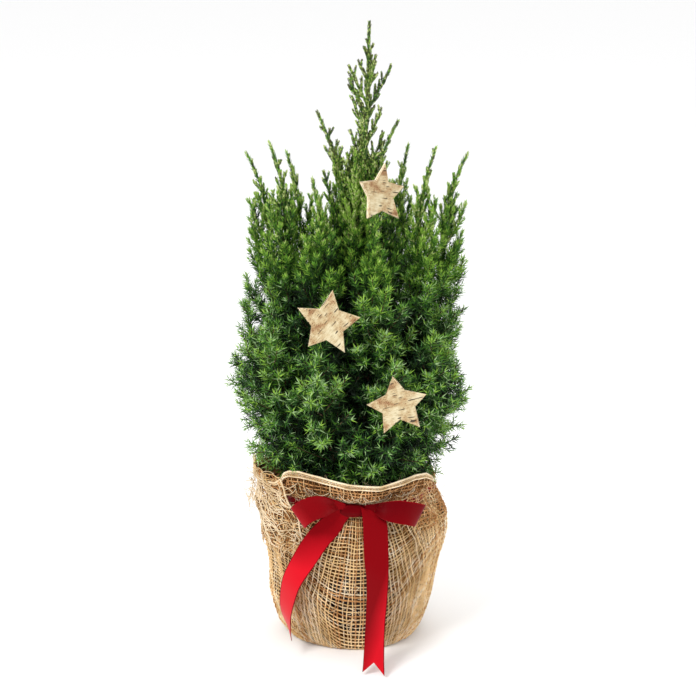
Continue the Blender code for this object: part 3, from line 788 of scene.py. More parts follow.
    def lining(self) -> None:
        """The inner layer of cloth that closes the wrap behind the yarns, open at the front low down; its dark brown is
        painted shade.
        """
        shape = bmesh.new()
        azimuths = np.linspace(0, 2 * math.pi, 96, endpoint=False)
        heights = np.linspace(0.002, 0.1285, 34)
        rings = []
        for height in heights:
            spots = self.surface(azimuths, np.full_like(azimuths, height), -2.8 * MM)
            rings.append([shape.verts.new(spot) for spot in spots])
        for share in np.linspace(0.12, 0.93, 6):
            spots = self.collar(azimuths, np.full_like(azimuths, share), -1.5 * MM)
            rings.append([shape.verts.new(spot) for spot in spots])
        for low, (lower, upper) in enumerate(zip(rings, rings[1:])):
            for step in range(96):
                turn = float(self.turn(np.array(azimuths[step])))
                reach = 0.50 * (1.0 - ((heights[min(low, 33)] - 0.042) / 0.036) ** 2)
                if reach > 0 and abs(turn) < reach:
                    continue
                after = (step + 1) % 96
                shape.faces.new((lower[step], lower[after], upper[after], upper[step]))
        shape.faces.new(list(reversed(rings[0])))
        mesh = bpy.data.meshes.new("jute_lining")
        shape.to_mesh(mesh)
        shape.free()
        finish = SpunJute("jute_lining_shaded", "#6a4c2c", 0.95, 0.0, 0.1, 0.9).make()
        place(mesh, "jute_lining", (finish,), "jute")

    def rope(self, name: str, spots: np.ndarray, radius: float, shade: int) -> None:
        """A thick selvedge line along an edge of the cloth."""
        spots = spots[None, :, :]
        normal = spots * np.array([1.0, 1.0, 0.0])
        normal /= np.linalg.norm(normal, axis=2, keepdims=True)
        points, faces = tubes(spots, normal, np.full(spots.shape[:2], radius), False, 6)
        place(mesh_from(name, points, faces), name, (self.finishes[shade],), "jute")

    def strands(self, name: str, sheet: Callable, spots: np.ndarray, radius: float, shade: int) -> None:
        """Loose fibres that lie on one sheet of the cloth.

        Args:
            name: the piece.
            sheet: the sheet's points, from two values.
            spots: the two values at each point of each fibre.
            radius: the fibres' radius.
            shade: number of their finish.
        """
        line = sheet(spots[..., 0], spots[..., 1])
        normal = line * np.array([1.0, 1.0, 0.0])
        normal /= np.linalg.norm(normal, axis=2, keepdims=True)
        count, length = line.shape[:2]
        lift = (1.0 + 0.9 * np.sin(np.linspace(0.0, math.pi, length)))[None, :, None]
        points, faces = tubes(line + normal * lift * MM, normal, np.full((count, length), radius), False, 3)
        place(mesh_from(name, points, faces), name, (self.finishes[shade],), "jute")

    def scatter(self, count: int, low: tuple, high: tuple, size: tuple, curl: float, seed: int) -> np.ndarray:
        """Curved paths at random places and in random directions on a sheet.

        Args:
            count: how many paths.
            low: the least two values of a path's start.
            high: the most.
            size: the length of a path in each value.
            curl: how much a path turns, in radians.
            seed: seeds the places.

        Returns:
            Paths by 7 points by 2.
        """
        rng = np.random.default_rng(seed)
        start = rng.uniform(low, high, (count, 2))[:, None, :]
        heading = rng.uniform(0.0, 2.0 * math.pi, (count, 1)) + np.linspace(0.0, 1.0, 7) * rng.normal(0.0, curl, (count, 1))
        steps = np.stack((np.cos(heading), np.sin(heading)), axis=-1) * np.array(size) / 6.0
        return start + np.cumsum(steps * rng.uniform(0.5, 1.0, (count, 1, 1)), axis=1)

    def loose_loops(self) -> None:
        """Pulled yarn loops that hang below the lip in front, and fibres on the flap and the body."""
        rng = np.random.default_rng(21)
        count = 46
        share = np.linspace(0.0, 1.0, 9)[None, :]
        middle = np.radians(rng.uniform(-128, -52, (count, 1)))
        width = np.radians(rng.uniform(5, 15, (count, 1)))
        top = rng.uniform(0.15, 0.60, (count, 1))
        drop = rng.uniform(0.15, 0.42, (count, 1))
        lean = rng.normal(0.0, 0.10, (count, 1))
        spots = np.stack(
            (middle + width * (share - 0.5), top + lean * (share - 0.5) - drop * (1.0 - (2.0 * share - 1.0) ** 2)), axis=-1
        )
        self.strands("jute_loops", self.collar, spots, 0.36 * MM, 1)
        paths = self.scatter(260, (0.04, 0.092), (0.98, 0.144), (0.22, 0.018), 1.8, 31)
        self.strands("jute_flap_strands", self.flap, paths, 0.46 * MM, 1)
        paths = self.scatter(160, (-2.4, 0.012), (-0.4, 0.115), (0.16, 0.012), 1.2, 32)
        self.strands("jute_body_strands", self.surface, paths, 0.24 * MM, 1)

    def frays(self) -> None:
        """Loose yarn ends and fibres along the rim, the folds and over the whole weave."""
        rng = np.random.default_rng(11)
        paths, radii = [], []
        groups = (
            (130, -188, -158, 0.112, 0.148, 0.011, 0.20 * MM, 0.0175),
            (70, -52, 6, 0.122, 0.146, 0.010, 0.16 * MM, 0.005),
            (90, -138, -40, 0.134, 0.150, 0.010, 0.17 * MM, 0.004),
            (40, -145, -128, 0.104, 0.140, 0.007, 0.14 * MM, 0.004),
            (420, -180, 180, 0.010, 0.125, 0.004, 0.10 * MM, 0.0012),
        )
        for count, low_az, high_az, low_z, high_z, length, radius, out in groups:
            for _ in range(count):
                azimuth = math.radians(rng.uniform(low_az, high_az))
                height = rng.uniform(low_z, high_z)
                start = self.surface(np.array(azimuth), np.array(min(height, self.neck_z)), out)
                start[2] = height
                away = np.array((math.cos(azimuth), math.sin(azimuth), 0.0))
                level = np.array((-math.sin(azimuth), math.cos(azimuth), 0.0))
                way = away * rng.uniform(0.0, 0.6) + level * rng.normal(0, 0.8) + np.array((0, 0, rng.normal(0, 0.7)))
                way /= np.linalg.norm(way)
                bend = rng.normal(0, 0.6, 3) - away * 0.3
                share = np.linspace(0, 1, 5)[:, None]
                reach = length * rng.uniform(0.4, 1.0)
                paths.append(start + way * share * reach + bend * share**2 * reach * 0.5)
                radii.append(np.full(5, radius))
        spots = np.array(paths)
        spots[:, :, 2] = np.maximum(spots[:, :, 2], 0.001)
        normal = np.zeros_like(spots) + np.array((0.3, 0.2, 0.93))
        points, faces = tubes(spots, normal, np.array(radii), False, 3)
        place(mesh_from("jute_frays", points, faces), "jute_frays", (self.finishes[1],), "jute")

    def build(self) -> None:
        """Weave the wrap in two layers, its collar and hem, its folds and its frays."""
        self.dress()
        self.weave("jute_wrap", self.crossings(self.warps, self.wefts, 1.0, 0.0), (0, 0, 1, 0, 2), True, ("jute_wrap",))
        # The under-weave takes the shaded and inner finishes: painted shade behind the outer yarns.
        self.weave("jute_under", self.crossings(84, 36, 0.45, -1.9 * MM), (4, 4, 3), True, (), 3)
        around = np.linspace(-math.pi, math.pi, 170, endpoint=False)
        rng = np.random.default_rng(3)
        shares = np.concatenate((np.linspace(0.0, 0.82, 8), np.linspace(0.88, 1.0, 4)))
        sway = noise(rng, len(around), shares, (1.0, 2.0), 0.016)
        spin = around[:, None] + sway
        # The collar mixes in dark yarns and shaded ones; the shaded ones are painted shade.
        self.weave("jute_collar", self.collar(spin, shares[None, :] + 0 * spin), (0, 2, 3), True)
        close = np.linspace(-math.pi, math.pi, 420, endpoint=False)
        rows = np.linspace(0.84, 0.99, 4)
        hem = self.collar(close[:, None] + 0 * rows, rows[None, :] + 0 * close[:, None], 0.9 * MM)
        self.weave("jute_hem", hem, (0, 1), True, (), 3)
        line = np.linspace(-math.pi, math.pi, 260)
        self.rope("jute_hem_top", self.collar(line, np.full_like(line, 1.0), 1.2 * MM), 0.85 * MM, 1)
        self.rope("jute_hem_low", self.collar(line, np.full_like(line, 0.86), 2.1 * MM), 0.50 * MM, 1)
        part, level = np.meshgrid(np.linspace(0.0, 1.0, 40), np.linspace(0.087, 0.1500, 25), indexing="ij")
        part = part + noise(rng, 40, np.linspace(0, 1, 25), (1.5, 4.0, 9.0), 0.018)
        level = level + noise(rng, 25, np.linspace(0, 1, 40), (2.0, 6.0, 13.0), 0.0016).T
        # The flap mixes in dark yarns and shaded ones; the shaded ones are painted shade.
        self.weave("jute_flap", self.flap(part, level), (0, 0, 2, 3), False)
        down = np.linspace(0.1010, 0.1500, 40)
        self.rope("jute_flap_edge", self.flap(np.full_like(down, 1.0), down) * (1.012, 1.012, 1.0), 0.75 * MM, 1)
        part, drop = np.meshgrid(np.linspace(0.0, 1.0, 36), np.linspace(0.0, 1.0, 16), indexing="ij")
        part = part + noise(rng, 36, np.linspace(0, 1, 16), (1.5, 4.0), 0.012)
        self.weave("jute_fold", self.fold(part, drop), (0, 2, 2), False)
        self.lining()
        self.loose_loops()
        self.frays()


@dataclass
class RibbonBow:
    """Band, knot, two loops and two tails of one satin ribbon."""

    thickness: float = 0.5 * MM
    columns: tuple = (0.0, 0.03, 0.15, 0.32, 0.50, 0.68, 0.85, 0.97, 1.0)
    rows: int = 60
    loops: dict = field(
        default_factory=lambda: {
            "ribbon_loop_left": (
                ((-0.0153, -0.0715, 0.1323), (0.0012, 0.0000, -0.0024)),
                ((-0.0205, -0.0792, 0.1354), (0.0016, 0.0002, -0.0059)),
                ((-0.0270, -0.0840, 0.1366), (0.0016, 0.0005, -0.0089)),
                ((-0.0348, -0.0862, 0.1356), (0.0022, 0.0008, -0.0100)),
                ((-0.0422, -0.0858, 0.1322), (0.0038, 0.0008, -0.0102)),
                ((-0.0475, -0.0817, 0.1259), (0.0058, 0.0003, -0.0090)),
                ((-0.0442, -0.0785, 0.1283), (0.0040, 0.0000, -0.0095)),
                ((-0.0360, -0.0775, 0.1338), (0.0024, 0.0000, -0.0090)),
                ((-0.0262, -0.0765, 0.1367), (0.0016, 0.0000, -0.0064)),
                ((-0.0173, -0.0740, 0.1353), (0.0008, 0.0000, -0.0041)),
                ((-0.0083, -0.0705, 0.1318), (0.0000, 0.0000, -0.0026)),
            ),
            "ribbon_loop_right": (
                ((0.0161, -0.0715, 0.1307), (-0.0010, 0.0000, -0.0031)),
                ((0.0202, -0.0790, 0.1325), (-0.0012, 0.0000, -0.0060)),
                ((0.0255, -0.0840, 0.1329), (-0.0011, 0.0000, -0.0081)),
                ((0.0348, -0.0857, 0.1326), (-0.0007, 0.0003, -0.0099)),
                ((0.0443, -0.0837, 0.1304), (-0.0014, 0.0003, -0.0100)),
                ((0.0523, -0.0772, 0.1266), (-0.0044, -0.0002, -0.0092)),
                ((0.0447, -0.0740, 0.1278), (-0.0032, 0.0000, -0.0090)),
                ((0.0357, -0.0750, 0.1305), (-0.0016, 0.0000, -0.0075)),
                ((0.0267, -0.0745, 0.1325), (0.0000, 0.0000, -0.0054)),
                ((0.0170, -0.0725, 0.1322), (0.0008, 0.0000, -0.0032)),
                ((0.0064, -0.0705, 0.1307), (0.0000, 0.0000, -0.0024)),
            ),
        }
    )
    tails: dict = field(
        default_factory=lambda: {
            "ribbon_tail_right": (
                (
                    ((0.0100, -0.0712, 0.1300), (0.0066, 0.0000, -0.0022)),
                    ((0.0138, -0.0735, 0.1262), (0.0094, -0.0005, -0.0030)),
                    ((0.0155, -0.0775, 0.1180), (0.0100, -0.0010, -0.0005)),
                    ((0.0166, -0.0815, 0.0899), (0.0099, -0.0015, 0.0000)),
                    ((0.0173, -0.0840, 0.0734), (0.0089, -0.0045, 0.0000)),
                    ((0.0169, -0.0868, 0.0569), (0.0083, -0.0055, 0.0000)),
                    ((0.0158, -0.0908, 0.0410), (0.0078, -0.0062, 0.0000)),
                    ((0.0150, -0.0965, 0.0260), (0.0079, -0.0060, 0.0000)),
                    ((0.0144, -0.1045, 0.0118), (0.0083, -0.0055, 0.0000)),
                    ((0.0140, -0.1130, 0.0030), (0.0089, -0.0040, 0.0000)),
                ),
                0.010,
            ),
            "ribbon_tail_left": (
                (
                    ((-0.0085, -0.0702, 0.1275), (0.0045, 0.0000, -0.0030)),
                    ((-0.0141, -0.0715, 0.1239), (0.0054, 0.0000, -0.0048)),
                    ((-0.0214, -0.0735, 0.1164), (0.0075, -0.0005, -0.0058)),
                    ((-0.0325, -0.0755, 0.1040), (0.0086, -0.0020, -0.0046)),
                    ((-0.0418, -0.0750, 0.0890), (0.0086, -0.0030, -0.0040)),
                    ((-0.0527, -0.0705, 0.0681), (0.0072, -0.0060, -0.0026)),
                    ((-0.0570, -0.0665, 0.0507), (0.0060, -0.0078, -0.0014)),
                    ((-0.0583, -0.0650, 0.0369), (0.0044, -0.0088, -0.0008)),
                    ((-0.0563, -0.0650, 0.0250), (0.0022, -0.0096, -0.0006)),
                    ((-0.0542, -0.0655, 0.0172), (0.0008, -0.0098, -0.0004)),
                ),
                -0.010,
            ),
        }
    )

    def smooth(self, points: tuple, rows: int) -> list:
        """Points along a Catmull-Rom curve through the given ones."""
        given = [Vector(point) for point in points]
        ends = [2.0 * given[0] - given[1], *given, 2.0 * given[-1] - given[-2]]
        made = []
        for row in range(rows):
            place_on = row / (rows - 1) * (len(given) - 1)
            index = min(int(place_on), len(given) - 2)
            t = place_on - index
            a, b, c, d = ends[index : index + 4]
            made.append(
                0.5 * (2.0 * b + (c - a) * t + (2.0 * a - 5.0 * b + 4.0 * c - d) * t**2
                       + (3.0 * b - a - 3.0 * c + d) * t**3)
            )
        return made

    def strip(self, name: str, grid: list, finishes: tuple, crease: float) -> None:
        """A ribbon from rows of points, slightly cupped, with thickness.

        Args:
            name: the piece, which replaces the node of that name.
            grid: rows of points across the width.
            finishes: its material and its selvedge's.
            crease: depth of the soft crease down the middle.
        """
        shape = bmesh.new()
        rows = []
        for index, row in enumerate(grid):
            nearby = grid[min(index + 1, len(grid) - 1)][0] - grid[max(index - 1, 0)][0]
            face = nearby.cross(row[-1] - row[0]).normalized()
            line = []
            for number, point in enumerate(row):
                part = self.columns[number]
                fade = math.exp(-((index / 14.0) ** 2))
                ripple = math.cos(3.0 * math.pi * part) * crease * fade
                line.append(shape.verts.new(point + face * ripple))
            rows.append(line)
        for near, far in zip(rows, rows[1:]):
            for side in range(len(near) - 1):
                face = shape.faces.new((near[side], near[side + 1], far[side + 1], far[side]))
                face.material_index = 1 if side in (0, len(near) - 2) else 0
        mesh = bpy.data.meshes.new(name + "_satin")
        shape.to_mesh(mesh)
        shape.free()
        for polygon in mesh.polygons:
            polygon.use_smooth = True
        obj = place(mesh, name + "_satin", finishes, "satin", (name,))
        solid = obj.modifiers.new("thickness", "SOLIDIFY")
        solid.thickness = self.thickness
        solid.offset = 0.0

    def across(self, centre: Vector, half: Vector) -> list:
        """Points across the ribbon at one row."""
        return [centre + half * (2.0 * share - 1.0) for share in self.columns]

    def notched(self, grid: list, notch: float) -> None:
        """Cut a tail's end: a swallow tail for a notch above 0, a slant for one below.

        Args:
            grid: the tail's rows, changed in place.
            notch: depth of the cut.
        """
        middle = len(self.columns) // 2
        along = (grid[-1][middle] - grid[-2][middle]).normalized()
        back = 6
        for number, share in enumerate(self.columns):
            pull = notch * (1.0 - abs(2.0 * share - 1.0)) if notch > 0.0 else -notch * (1.0 - share)
            for row in range(back + 1):
                grid[-1 - row][number] = grid[-1 - row][number] - along * pull * (1.0 - row / (back + 1))

    def build(self, wrap: JuteWrap) -> None:
        """Lay out the whole bow.

        Args:
            wrap: the cloth that the band goes round.
        """
        # Lit and shaded copies of one red satin, each with painted shade: every copy turns to a darker red above its
        # own height, and the shaded copy, on the right loop and the knot, is painted shade all over.
        lit = WovenSatin("woven_satin_red_lit_painted_shade", "#c81422", 0.42, 0.10, 0.30).make()
        turned = WovenSatin("woven_satin_red_turned_painted_shade", "#c01220", 0.42, 0.10, 0.30, 0.040, -0.020, -3.0, 0.35, "#74070e").make()
        sloped_painted_shade = WovenSatin("woven_satin_red_sloped_painted_shade", "#b4101c", 0.42, 0.10, 0.30, 0.030, 0.080, 0.8, 0.35, "#74070e").make()
        away = WovenSatin("woven_satin_red_shaded", "#74070e", 0.42, 0.05, 0.20, 0.030, 0.110, -0.3, 0.35, "#55040a").make()
        selvedge = WovenSatin("woven_satin_selvedge", "#6c0a12", 0.5, 0.1, 0.2).make()
        faces = {"ribbon_loop_right": away, "ribbon_loop_left": sloped_painted_shade, "ribbon_tail_right": turned}
        for name, given in self.loops.items():
            centres, halves = (self.smooth(values, self.rows) for values in zip(*given))
            grid = [self.across(centre, half) for centre, half in zip(centres, halves)]
            self.strip(name, grid, (faces.get(name, lit), selvedge), 0.9 * MM)
        for name, (given, notch) in self.tails.items():
            centres, halves = (self.smooth(values, self.rows) for values in zip(*given))
            grid = [self.across(centre, half) for centre, half in zip(centres, halves)]
            self.notched(grid, notch)
            self.strip(name, grid, (faces.get(name, lit), selvedge), 0.5 * MM)
        steps = 150
        grid = []
        for step in range(steps + 1):
            azimuth = math.radians(-82 + step / steps * 344)
            spots = wrap.surface(np.full(3, azimuth), np.linspace(0.1265, 0.1295, 3), 0.0)
            reach = max(math.hypot(x, y) for x, y, _ in spots) + 1.6 * MM
            centre = Vector((reach * math.cos(azimuth), reach * math.sin(azimuth), wrap.neck_z))
            grid.append(self.across(centre, Vector((0.0, 0.0, 0.0036))))
        self.strip("ribbon_band", grid, (lit, selvedge), 0.0)
        self.knot(away)

    def knot(self, finish: bpy.types.Material) -> None:
        """The knot: ribbon drawn into soft folds round the middle of the bow."""
        shape = bmesh.new()
        bmesh.ops.create_uvsphere(shape, u_segments=40, v_segments=24, radius=1.0)
        for vert in shape.verts:
            x, y, z = vert.co
            squared = [math.copysign(abs(value) ** 0.75, value) for value in (x, y, z)]
            fold = 1.0 + 0.07 * math.cos(7.0 * z + 1.5 * x) * (1.0 - abs(x))
            vert.co = Vector((squared[0] * 0.0112, squared[1] * 0.0042 * fold, squared[2] * 0.0052 * fold))
            vert.co += Vector((-0.0030, -0.0686, 0.1282))
        mesh = bpy.data.meshes.new("ribbon_knot_satin")
        shape.to_mesh(mesh)
        shape.free()
        for polygon in mesh.polygons:
            polygon.use_smooth = True
        place(mesh, "ribbon_knot_satin", (finish,), "satin", ("ribbon_knot",))


@dataclass(frozen=True)
class Bough:
    """One limb, as the part has it."""

    name: str
    tip: tuple
    foot_z: float
    elbow_share: float
    elbow_z: float


def tier(name: str, places: tuple, elbow_share: float, elbow_z: float) -> list:
    """The boughs of one tier of the crown."""
    return [Bough(f"{name}_{spot}", tip, foot, elbow_share, elbow_z) for spot, tip, foot in places]


@dataclass(frozen=True)
class Habit:
    """How one order of side shoot grows. Each pair is its value on the spires, then on the skirt."""

    pitch: tuple
    angle: tuple
    longest: tuple
    least: tuple
    slope: tuple
    square: tuple
    lift: tuple
    upright: float
    thick: tuple
    parts: int


@dataclass
class Crown:
    """Trunk, boughs, twigs and needles."""

    trunk_foot_z: float = 0.1038
    trunk_top_z: float = 0.400
    tip_z: float = 0.520
    lean: float = 0.0105
    bare: float = 0.30
    middle_x: float = -0.0055
    sway: float = 0.13
    high_sway: float = 0.60
    reach: tuple = (
        (0.150, 0.0820),
        (0.165, 0.0900),
        (0.185, 0.0970),
        (0.215, 0.1010),
        (0.240, 0.0975),
        (0.290, 0.0945),
        (0.330, 0.0970),
        (0.400, 0.1035),
    )
    perches: tuple = ((-0.0223, -0.0800, 0.2893), (0.0330, -0.0905, 0.2236), (0.0211, -0.0600, 0.3903))
    perch_reach: float = 0.028
    # Hollows in the front of the crown: twigs stay out of them, and needles near them get darker tints as painted
    # shade.
    hollows: tuple = (
        (-0.0250, 0.1720, 0.0130),
        (-0.0050, 0.2540, 0.0095),
        (-0.0030, 0.2310, 0.0125),
        (-0.0180, 0.2160, 0.0110),
        (0.0147, 0.3470, 0.0100),
        (-0.0450, 0.1940, 0.0090),
    )
    # Painted light: needles on these boughs get lighter tints.
    lit: dict = field(default_factory=lambda: {"high_front": 1.4, "middle_front": 0.8, "middle_right": 0.45})
    habits: tuple = (
        Habit(
            pitch=(0.0060, 0.0040),
            angle=(28, 52),
            longest=(0.033, 0.050),
            least=(0.0024, 0.0050),
            slope=(0.05, 0.60),
            square=(5.2, 0.0),
            lift=(0.15, 0.45),
            upright=1.25,
            thick=(0.68 * MM, 0.55 * MM),
            parts=6,
        ),
        Habit(
            pitch=(0.0052, 0.0052),
            angle=(36, 42),
            longest=(0.0100, 0.0170),
            least=(0.0040, 0.0030),
            slope=(0.36, 0.55),
            square=(0.0, 0.0),
            lift=(0.25, 0.35),
            upright=0.15,
            thick=(0.50 * MM, 0.42 * MM),
            parts=3,
        ),
        Habit(
            pitch=(0.0048, 0.0078),
            angle=(30, 44),
            longest=(0.0040, 0.0075),
            least=(0.0016, 0.0020),
            slope=(0.20, 0.40),
            square=(0.0, 0.0),
            lift=(0.20, 0.30),
            upright=0.0,
            thick=(0.45 * MM, 0.38 * MM),
            parts=2,
        ),
    )
    seed: int = 7
    leader: Bough = Bough("leader", (0.0105, 0.0, 0.520), 0.400, 0.0, 0.0)
    boughs: list = field(
        default_factory=lambda: [
            *tier(
                "low",
                (("left", (-0.0900, -0.0150, 0.290), 0.119), ("left_front", (-0.0700, -0.0530, 0.283), 0.126),
                 ("front_left", (-0.0300, -0.0790, 0.268), 0.118), ("front_right", (0.0300, -0.0780, 0.254), 0.127),
                 ("right_front", (0.0630, -0.0480, 0.272), 0.117), ("right", (0.0790, -0.0040, 0.280), 0.125),
                 ("back_right", (0.0550, 0.0580, 0.270), 0.118), ("back", (0.0040, 0.0790, 0.278), 0.127),
                 ("back_left", (-0.0560, 0.0600, 0.288), 0.120)),
                0.93, 0.168,
            ),
            *tier(
                "middle",
                (("left", (-0.0700, -0.0250, 0.425), 0.166), ("left_back", (-0.0900, 0.0150, 0.409), 0.150),
                 ("front_left", (-0.0350, -0.0520, 0.400), 0.158), ("front", (0.0160, -0.0600, 0.368), 0.148),
                 ("right", (0.0640, -0.0220, 0.420), 0.164), ("right_back", (0.0910, 0.0110, 0.409), 0.152),
                 ("back_right", (0.0440, 0.0600, 0.408), 0.162), ("back", (-0.0120, 0.0720, 0.392), 0.150),
                 ("back_left", (-0.0580, 0.0560, 0.402), 0.160)),
                0.84, 0.222,
            ),
            *tier(
                "high",
                (("left", (-0.0320, 0.0080, 0.445), 0.238), ("front", (-0.0010, -0.0260, 0.418), 0.226),
                 ("right", (0.0340, 0.0040, 0.438), 0.232), ("back", (0.0060, 0.0330, 0.442), 0.244)),
                1.05, 0.320,
            ),
        ]
    )
    breadth: float = 1.0
    whorls: list = field(default_factory=list)
    twigs: list = field(default_factory=list)

    def trunk_point(self, height: float) -> Vector:
        """Centre of the trunk at this height."""
        share = max(0.0, (height - self.trunk_foot_z) / (self.tip_z - self.trunk_foot_z))
        return Vector((self.lean * share, 0.0, height))

    def point(self, bough: Bough, share: float) -> Vector:
        """A point on the bough's line, which leans out a little more towards its tip once it is in leaf."""
        tip, foot = Vector(bough.tip), self.trunk_point(bough.foot_z)
        if bough is self.leader:
            return foot.lerp(tip, share)
        elbow = Vector((tip.x * bough.elbow_share, tip.y * bough.elbow_share, bough.elbow_z))
        spot = foot * (1 - share) ** 2 + elbow * 2 * share * (1 - share) + tip * share**2
        leafy = max(0.0, (share - self.bare) / (1.0 - self.bare))
        sway, late = (self.high_sway, 1.3) if bough.name.startswith("high") else (self.sway, 3.0)
        drawn = 1.0 - sway * math.sin(math.pi * leafy**late) * min(1.0, max(0.0, (tip.z - 0.30) / 0.10))
        return Vector((spot.x * drawn, spot.y * drawn, spot.z))

    def rim(self, spots: np.ndarray) -> np.ndarray:
        """The crown's ragged radius at the points' levels and azimuths."""
        heights, radii = zip(*self.reach)
        turn = np.arctan2(spots[..., 1], spots[..., 0] - self.middle_x)
        rise = spots[..., 2]
        ragged = np.sin(5 * turn + 41.0 * rise + 0.6) + np.sin(8 * turn - 67.0 * rise + 2.0) + np.sin(3 * turn + 97.0 * rise)
        return np.interp(rise, heights, radii) * (1.0 + 0.042 * ragged * np.clip((0.40 - rise) / 0.06, 0.0, 1.0))

    def depth(self, spots: np.ndarray) -> np.ndarray:
        """How far points lie inside the crown's side."""
        return self.rim(spots) - np.hypot(spots[..., 0] - self.middle_x, spots[..., 1])

    @staticmethod
    def openness(height: float) -> float:
        """How far the needles spread at this height: 0 on the spires, 1 on the skirt."""
        return min(1.0, max(0.0, (0.415 - height) / 0.170))

    def fits(self, spot: Vector, top: float) -> bool:
        """Whether a twig's end stays in the crown, above the collar and behind the stars.

        Args:
            spot: the twig's end.
            top: highest level allowed.

        Returns:
            True if it stays in.
        """
        around = math.hypot(spot.x, spot.y)
        front = spot.y < 0.0 and abs(spot.x) < 1.6 * -spot.y
        floors = (0.128, 0.1440, 0.1450, 0.1600) if front else (0.128, 0.1360, 0.1400, 0.1500)
        floor = float(np.interp(around, (0.060, 0.064, 0.074, 0.078), floors))
        for x, y, z in self.perches:
            if spot.y < y + 0.006 and math.hypot(spot.x - x, spot.z - z) < self.perch_reach:
                return False
        depth = float(self.depth(np.array(spot)))
        if spot.y < -0.030 and depth < 0.030:
            for x, z, reach in self.hollows:
                if math.hypot(spot.x - x, spot.z - z) < reach:
                    return False
        return depth > 0.0030 and floor < spot.z < top

    @staticmethod
    def shoot(root: Vector, way: Vector, length: float, lift: float, steps: int) -> list:
        """Points of a shoot that curves upward as it grows.

        Args:
            root: where it leaves its parent.
            way: its first direction.
            length: its length.
            lift: how much it turns upward.
            steps: how many straight parts it has.

        Returns:
            The points.
        """
        spots, here, turned = [root], root.copy(), way.copy()
        for _ in range(steps):
            turned = (turned + Vector((0.0, 0.0, lift / steps))).normalized()
            here = here + turned * (length / steps)
            spots.append(here.copy())
        return spots

    def clothe(self, spots: list, start: float, core: float, rng: random.Random, shade: float) -> None:
        """Set whorls of needles along a twig.

        Args:
            spots: the twig's points.
            start: length of the twig's foot that stays bare.
            core: the twig's radius, from which scale leaves stand off.
            rng: the seeded generator.
            shade: how much darker than its place this twig is.
        """
        line = np.array([tuple(spot) for spot in spots])
        legs = np.linalg.norm(np.diff(line, axis=0), axis=1)
        mileage = np.concatenate(([0.0], np.cumsum(legs)))
        total = mileage[-1]
        opened = min(1.0, 1.4 * self.openness(0.5 * (spots[-1].z + spots[len(spots) // 2].z)))
        pitch = lerp(1.12, 1.95, opened) * MM
        count = max(2, int((total - start) / pitch) + 1)
        places = np.linspace(start, total, count)
        where = np.stack([np.interp(places, mileage, line[:, k]) for k in range(3)], axis=1)
        middle = 0.5 * (mileage[1:] + mileage[:-1])
        ways = np.diff(line, axis=0) / legs[:, None]
        ways = np.stack([np.interp(places, middle, ways[:, k]) for k in range(3)], axis=1)
        left = total - places
        # Lighter tips stand for new growth; whorls deep inside the crown get darker tints as painted shade.
        sunk = self.depth(where) * np.clip((0.372 - where[:, 2]) / 0.100, 0.0, 1.0)
        tip_share = np.clip(1.0 - left / lerp(0.0050, 0.008, opened), 0.0, 1.0)
        light = lerp(2.20, 2.52, opened) + lerp(2.2, 2.0, opened) * tip_share - shade
        light -= np.clip(sunk - 0.0075, 0.0, 0.044) / 0.0120
        # Painted shade: front whorls near a hollow get darker tints.
        for x, z, reach in self.hollows:
            near = np.exp(-((where[:, 0] - x) ** 2 + (where[:, 2] - z) ** 2) / reach**2)
            light -= 1.3 * near * (where[:, 1] < 0.0)
        data = np.empty((count, 11))
        data[:, 10] = core * (1.0 - opened) ** 1.5
        data[:, 0:3], data[:, 3:6] = where, ways
        data[:, 6] = rng.uniform(0.0, 6.28) + np.arange(count) * 1.05
        data[:, 7], data[:, 8], data[:, 9] = opened, left, light
        self.whorls.append(data)

    def sprout(self, spots: list, order: int, top: float, rng: random.Random, shade: float) -> None:
        """Grow side shoots on a shoot, from near its tip down to its foot, and side shoots on them.

        Args:
            spots: the parent's points.
            order: 0 for shoots on a bough's stem, 1 for shoots on them, 2 for the last ones.
            top: highest level allowed.
            rng: the seeded generator.
            shade: how much darker than its place the parent is.
        """
        habit = self.habits[order]
        legs = [(b - a).length for a, b in zip(spots, spots[1:])]
        total = sum(legs)
        law = self.openness(spots[-1].z)
        phase, number = rng.uniform(0.0, 2.0 * math.pi), 0
        gone = lerp(*habit.pitch, law) * rng.uniform(0.7, 1.0)
        while gone < total - 0.0012:
            walked, index = total - gone, 0
            while index < len(legs) - 1 and walked > legs[index]:
                walked -= legs[index]
                index += 1
            root = spots[index].lerp(spots[index + 1], min(1.0, walked / legs[index]))
            way = (spots[index + 1] - spots[index]).normalized()
            opened = self.openness(root.z)
            turn = phase + GOLDEN_ANGLE * number + rng.uniform(-0.35, 0.35)
            outward = Matrix.Rotation(turn, 3, way) @ way.orthogonal().normalized()
            foot = min(1.0, max(0.0, (0.200 - root.z) / 0.035))
            angle = math.radians(lerp(*habit.angle, opened) + 16.0 * foot + rng.uniform(-6, 6))
            away = Vector((root.x - self.middle_x, root.y, 0.0)) / 0.090
            along = way * math.cos(angle) + outward * math.sin(angle)
            if order == 0:
                along = along + away * (0.55 * min(1.0, 2.0 * opened) + 0.45 * foot)
            along.normalize()
            grown = lerp(*habit.least, law) + lerp(*habit.slope, law) * gone
            grown += lerp(*habit.square, law) * gone**2 * self.breadth
            length = min(lerp(*habit.longest, opened) * self.breadth**0.4, grown) * rng.uniform(0.75, 1.18)
            leaning = 1.2 * math.hypot(way.x, way.y) * (1.0 - opened)
            lift = lerp(*habit.lift, opened) + leaning + habit.upright * math.sin(math.pi * opened)
            lift *= 1.0 - 0.8 * foot
            number += 1
            gone += lerp(*habit.pitch, opened) * rng.uniform(0.8, 1.2)
            for _ in range(8):
                line = self.shoot(root, along, length, lift, habit.parts)
                if self.fits(line[-1], top):
                    break
                length *= 0.84
            else:
                continue
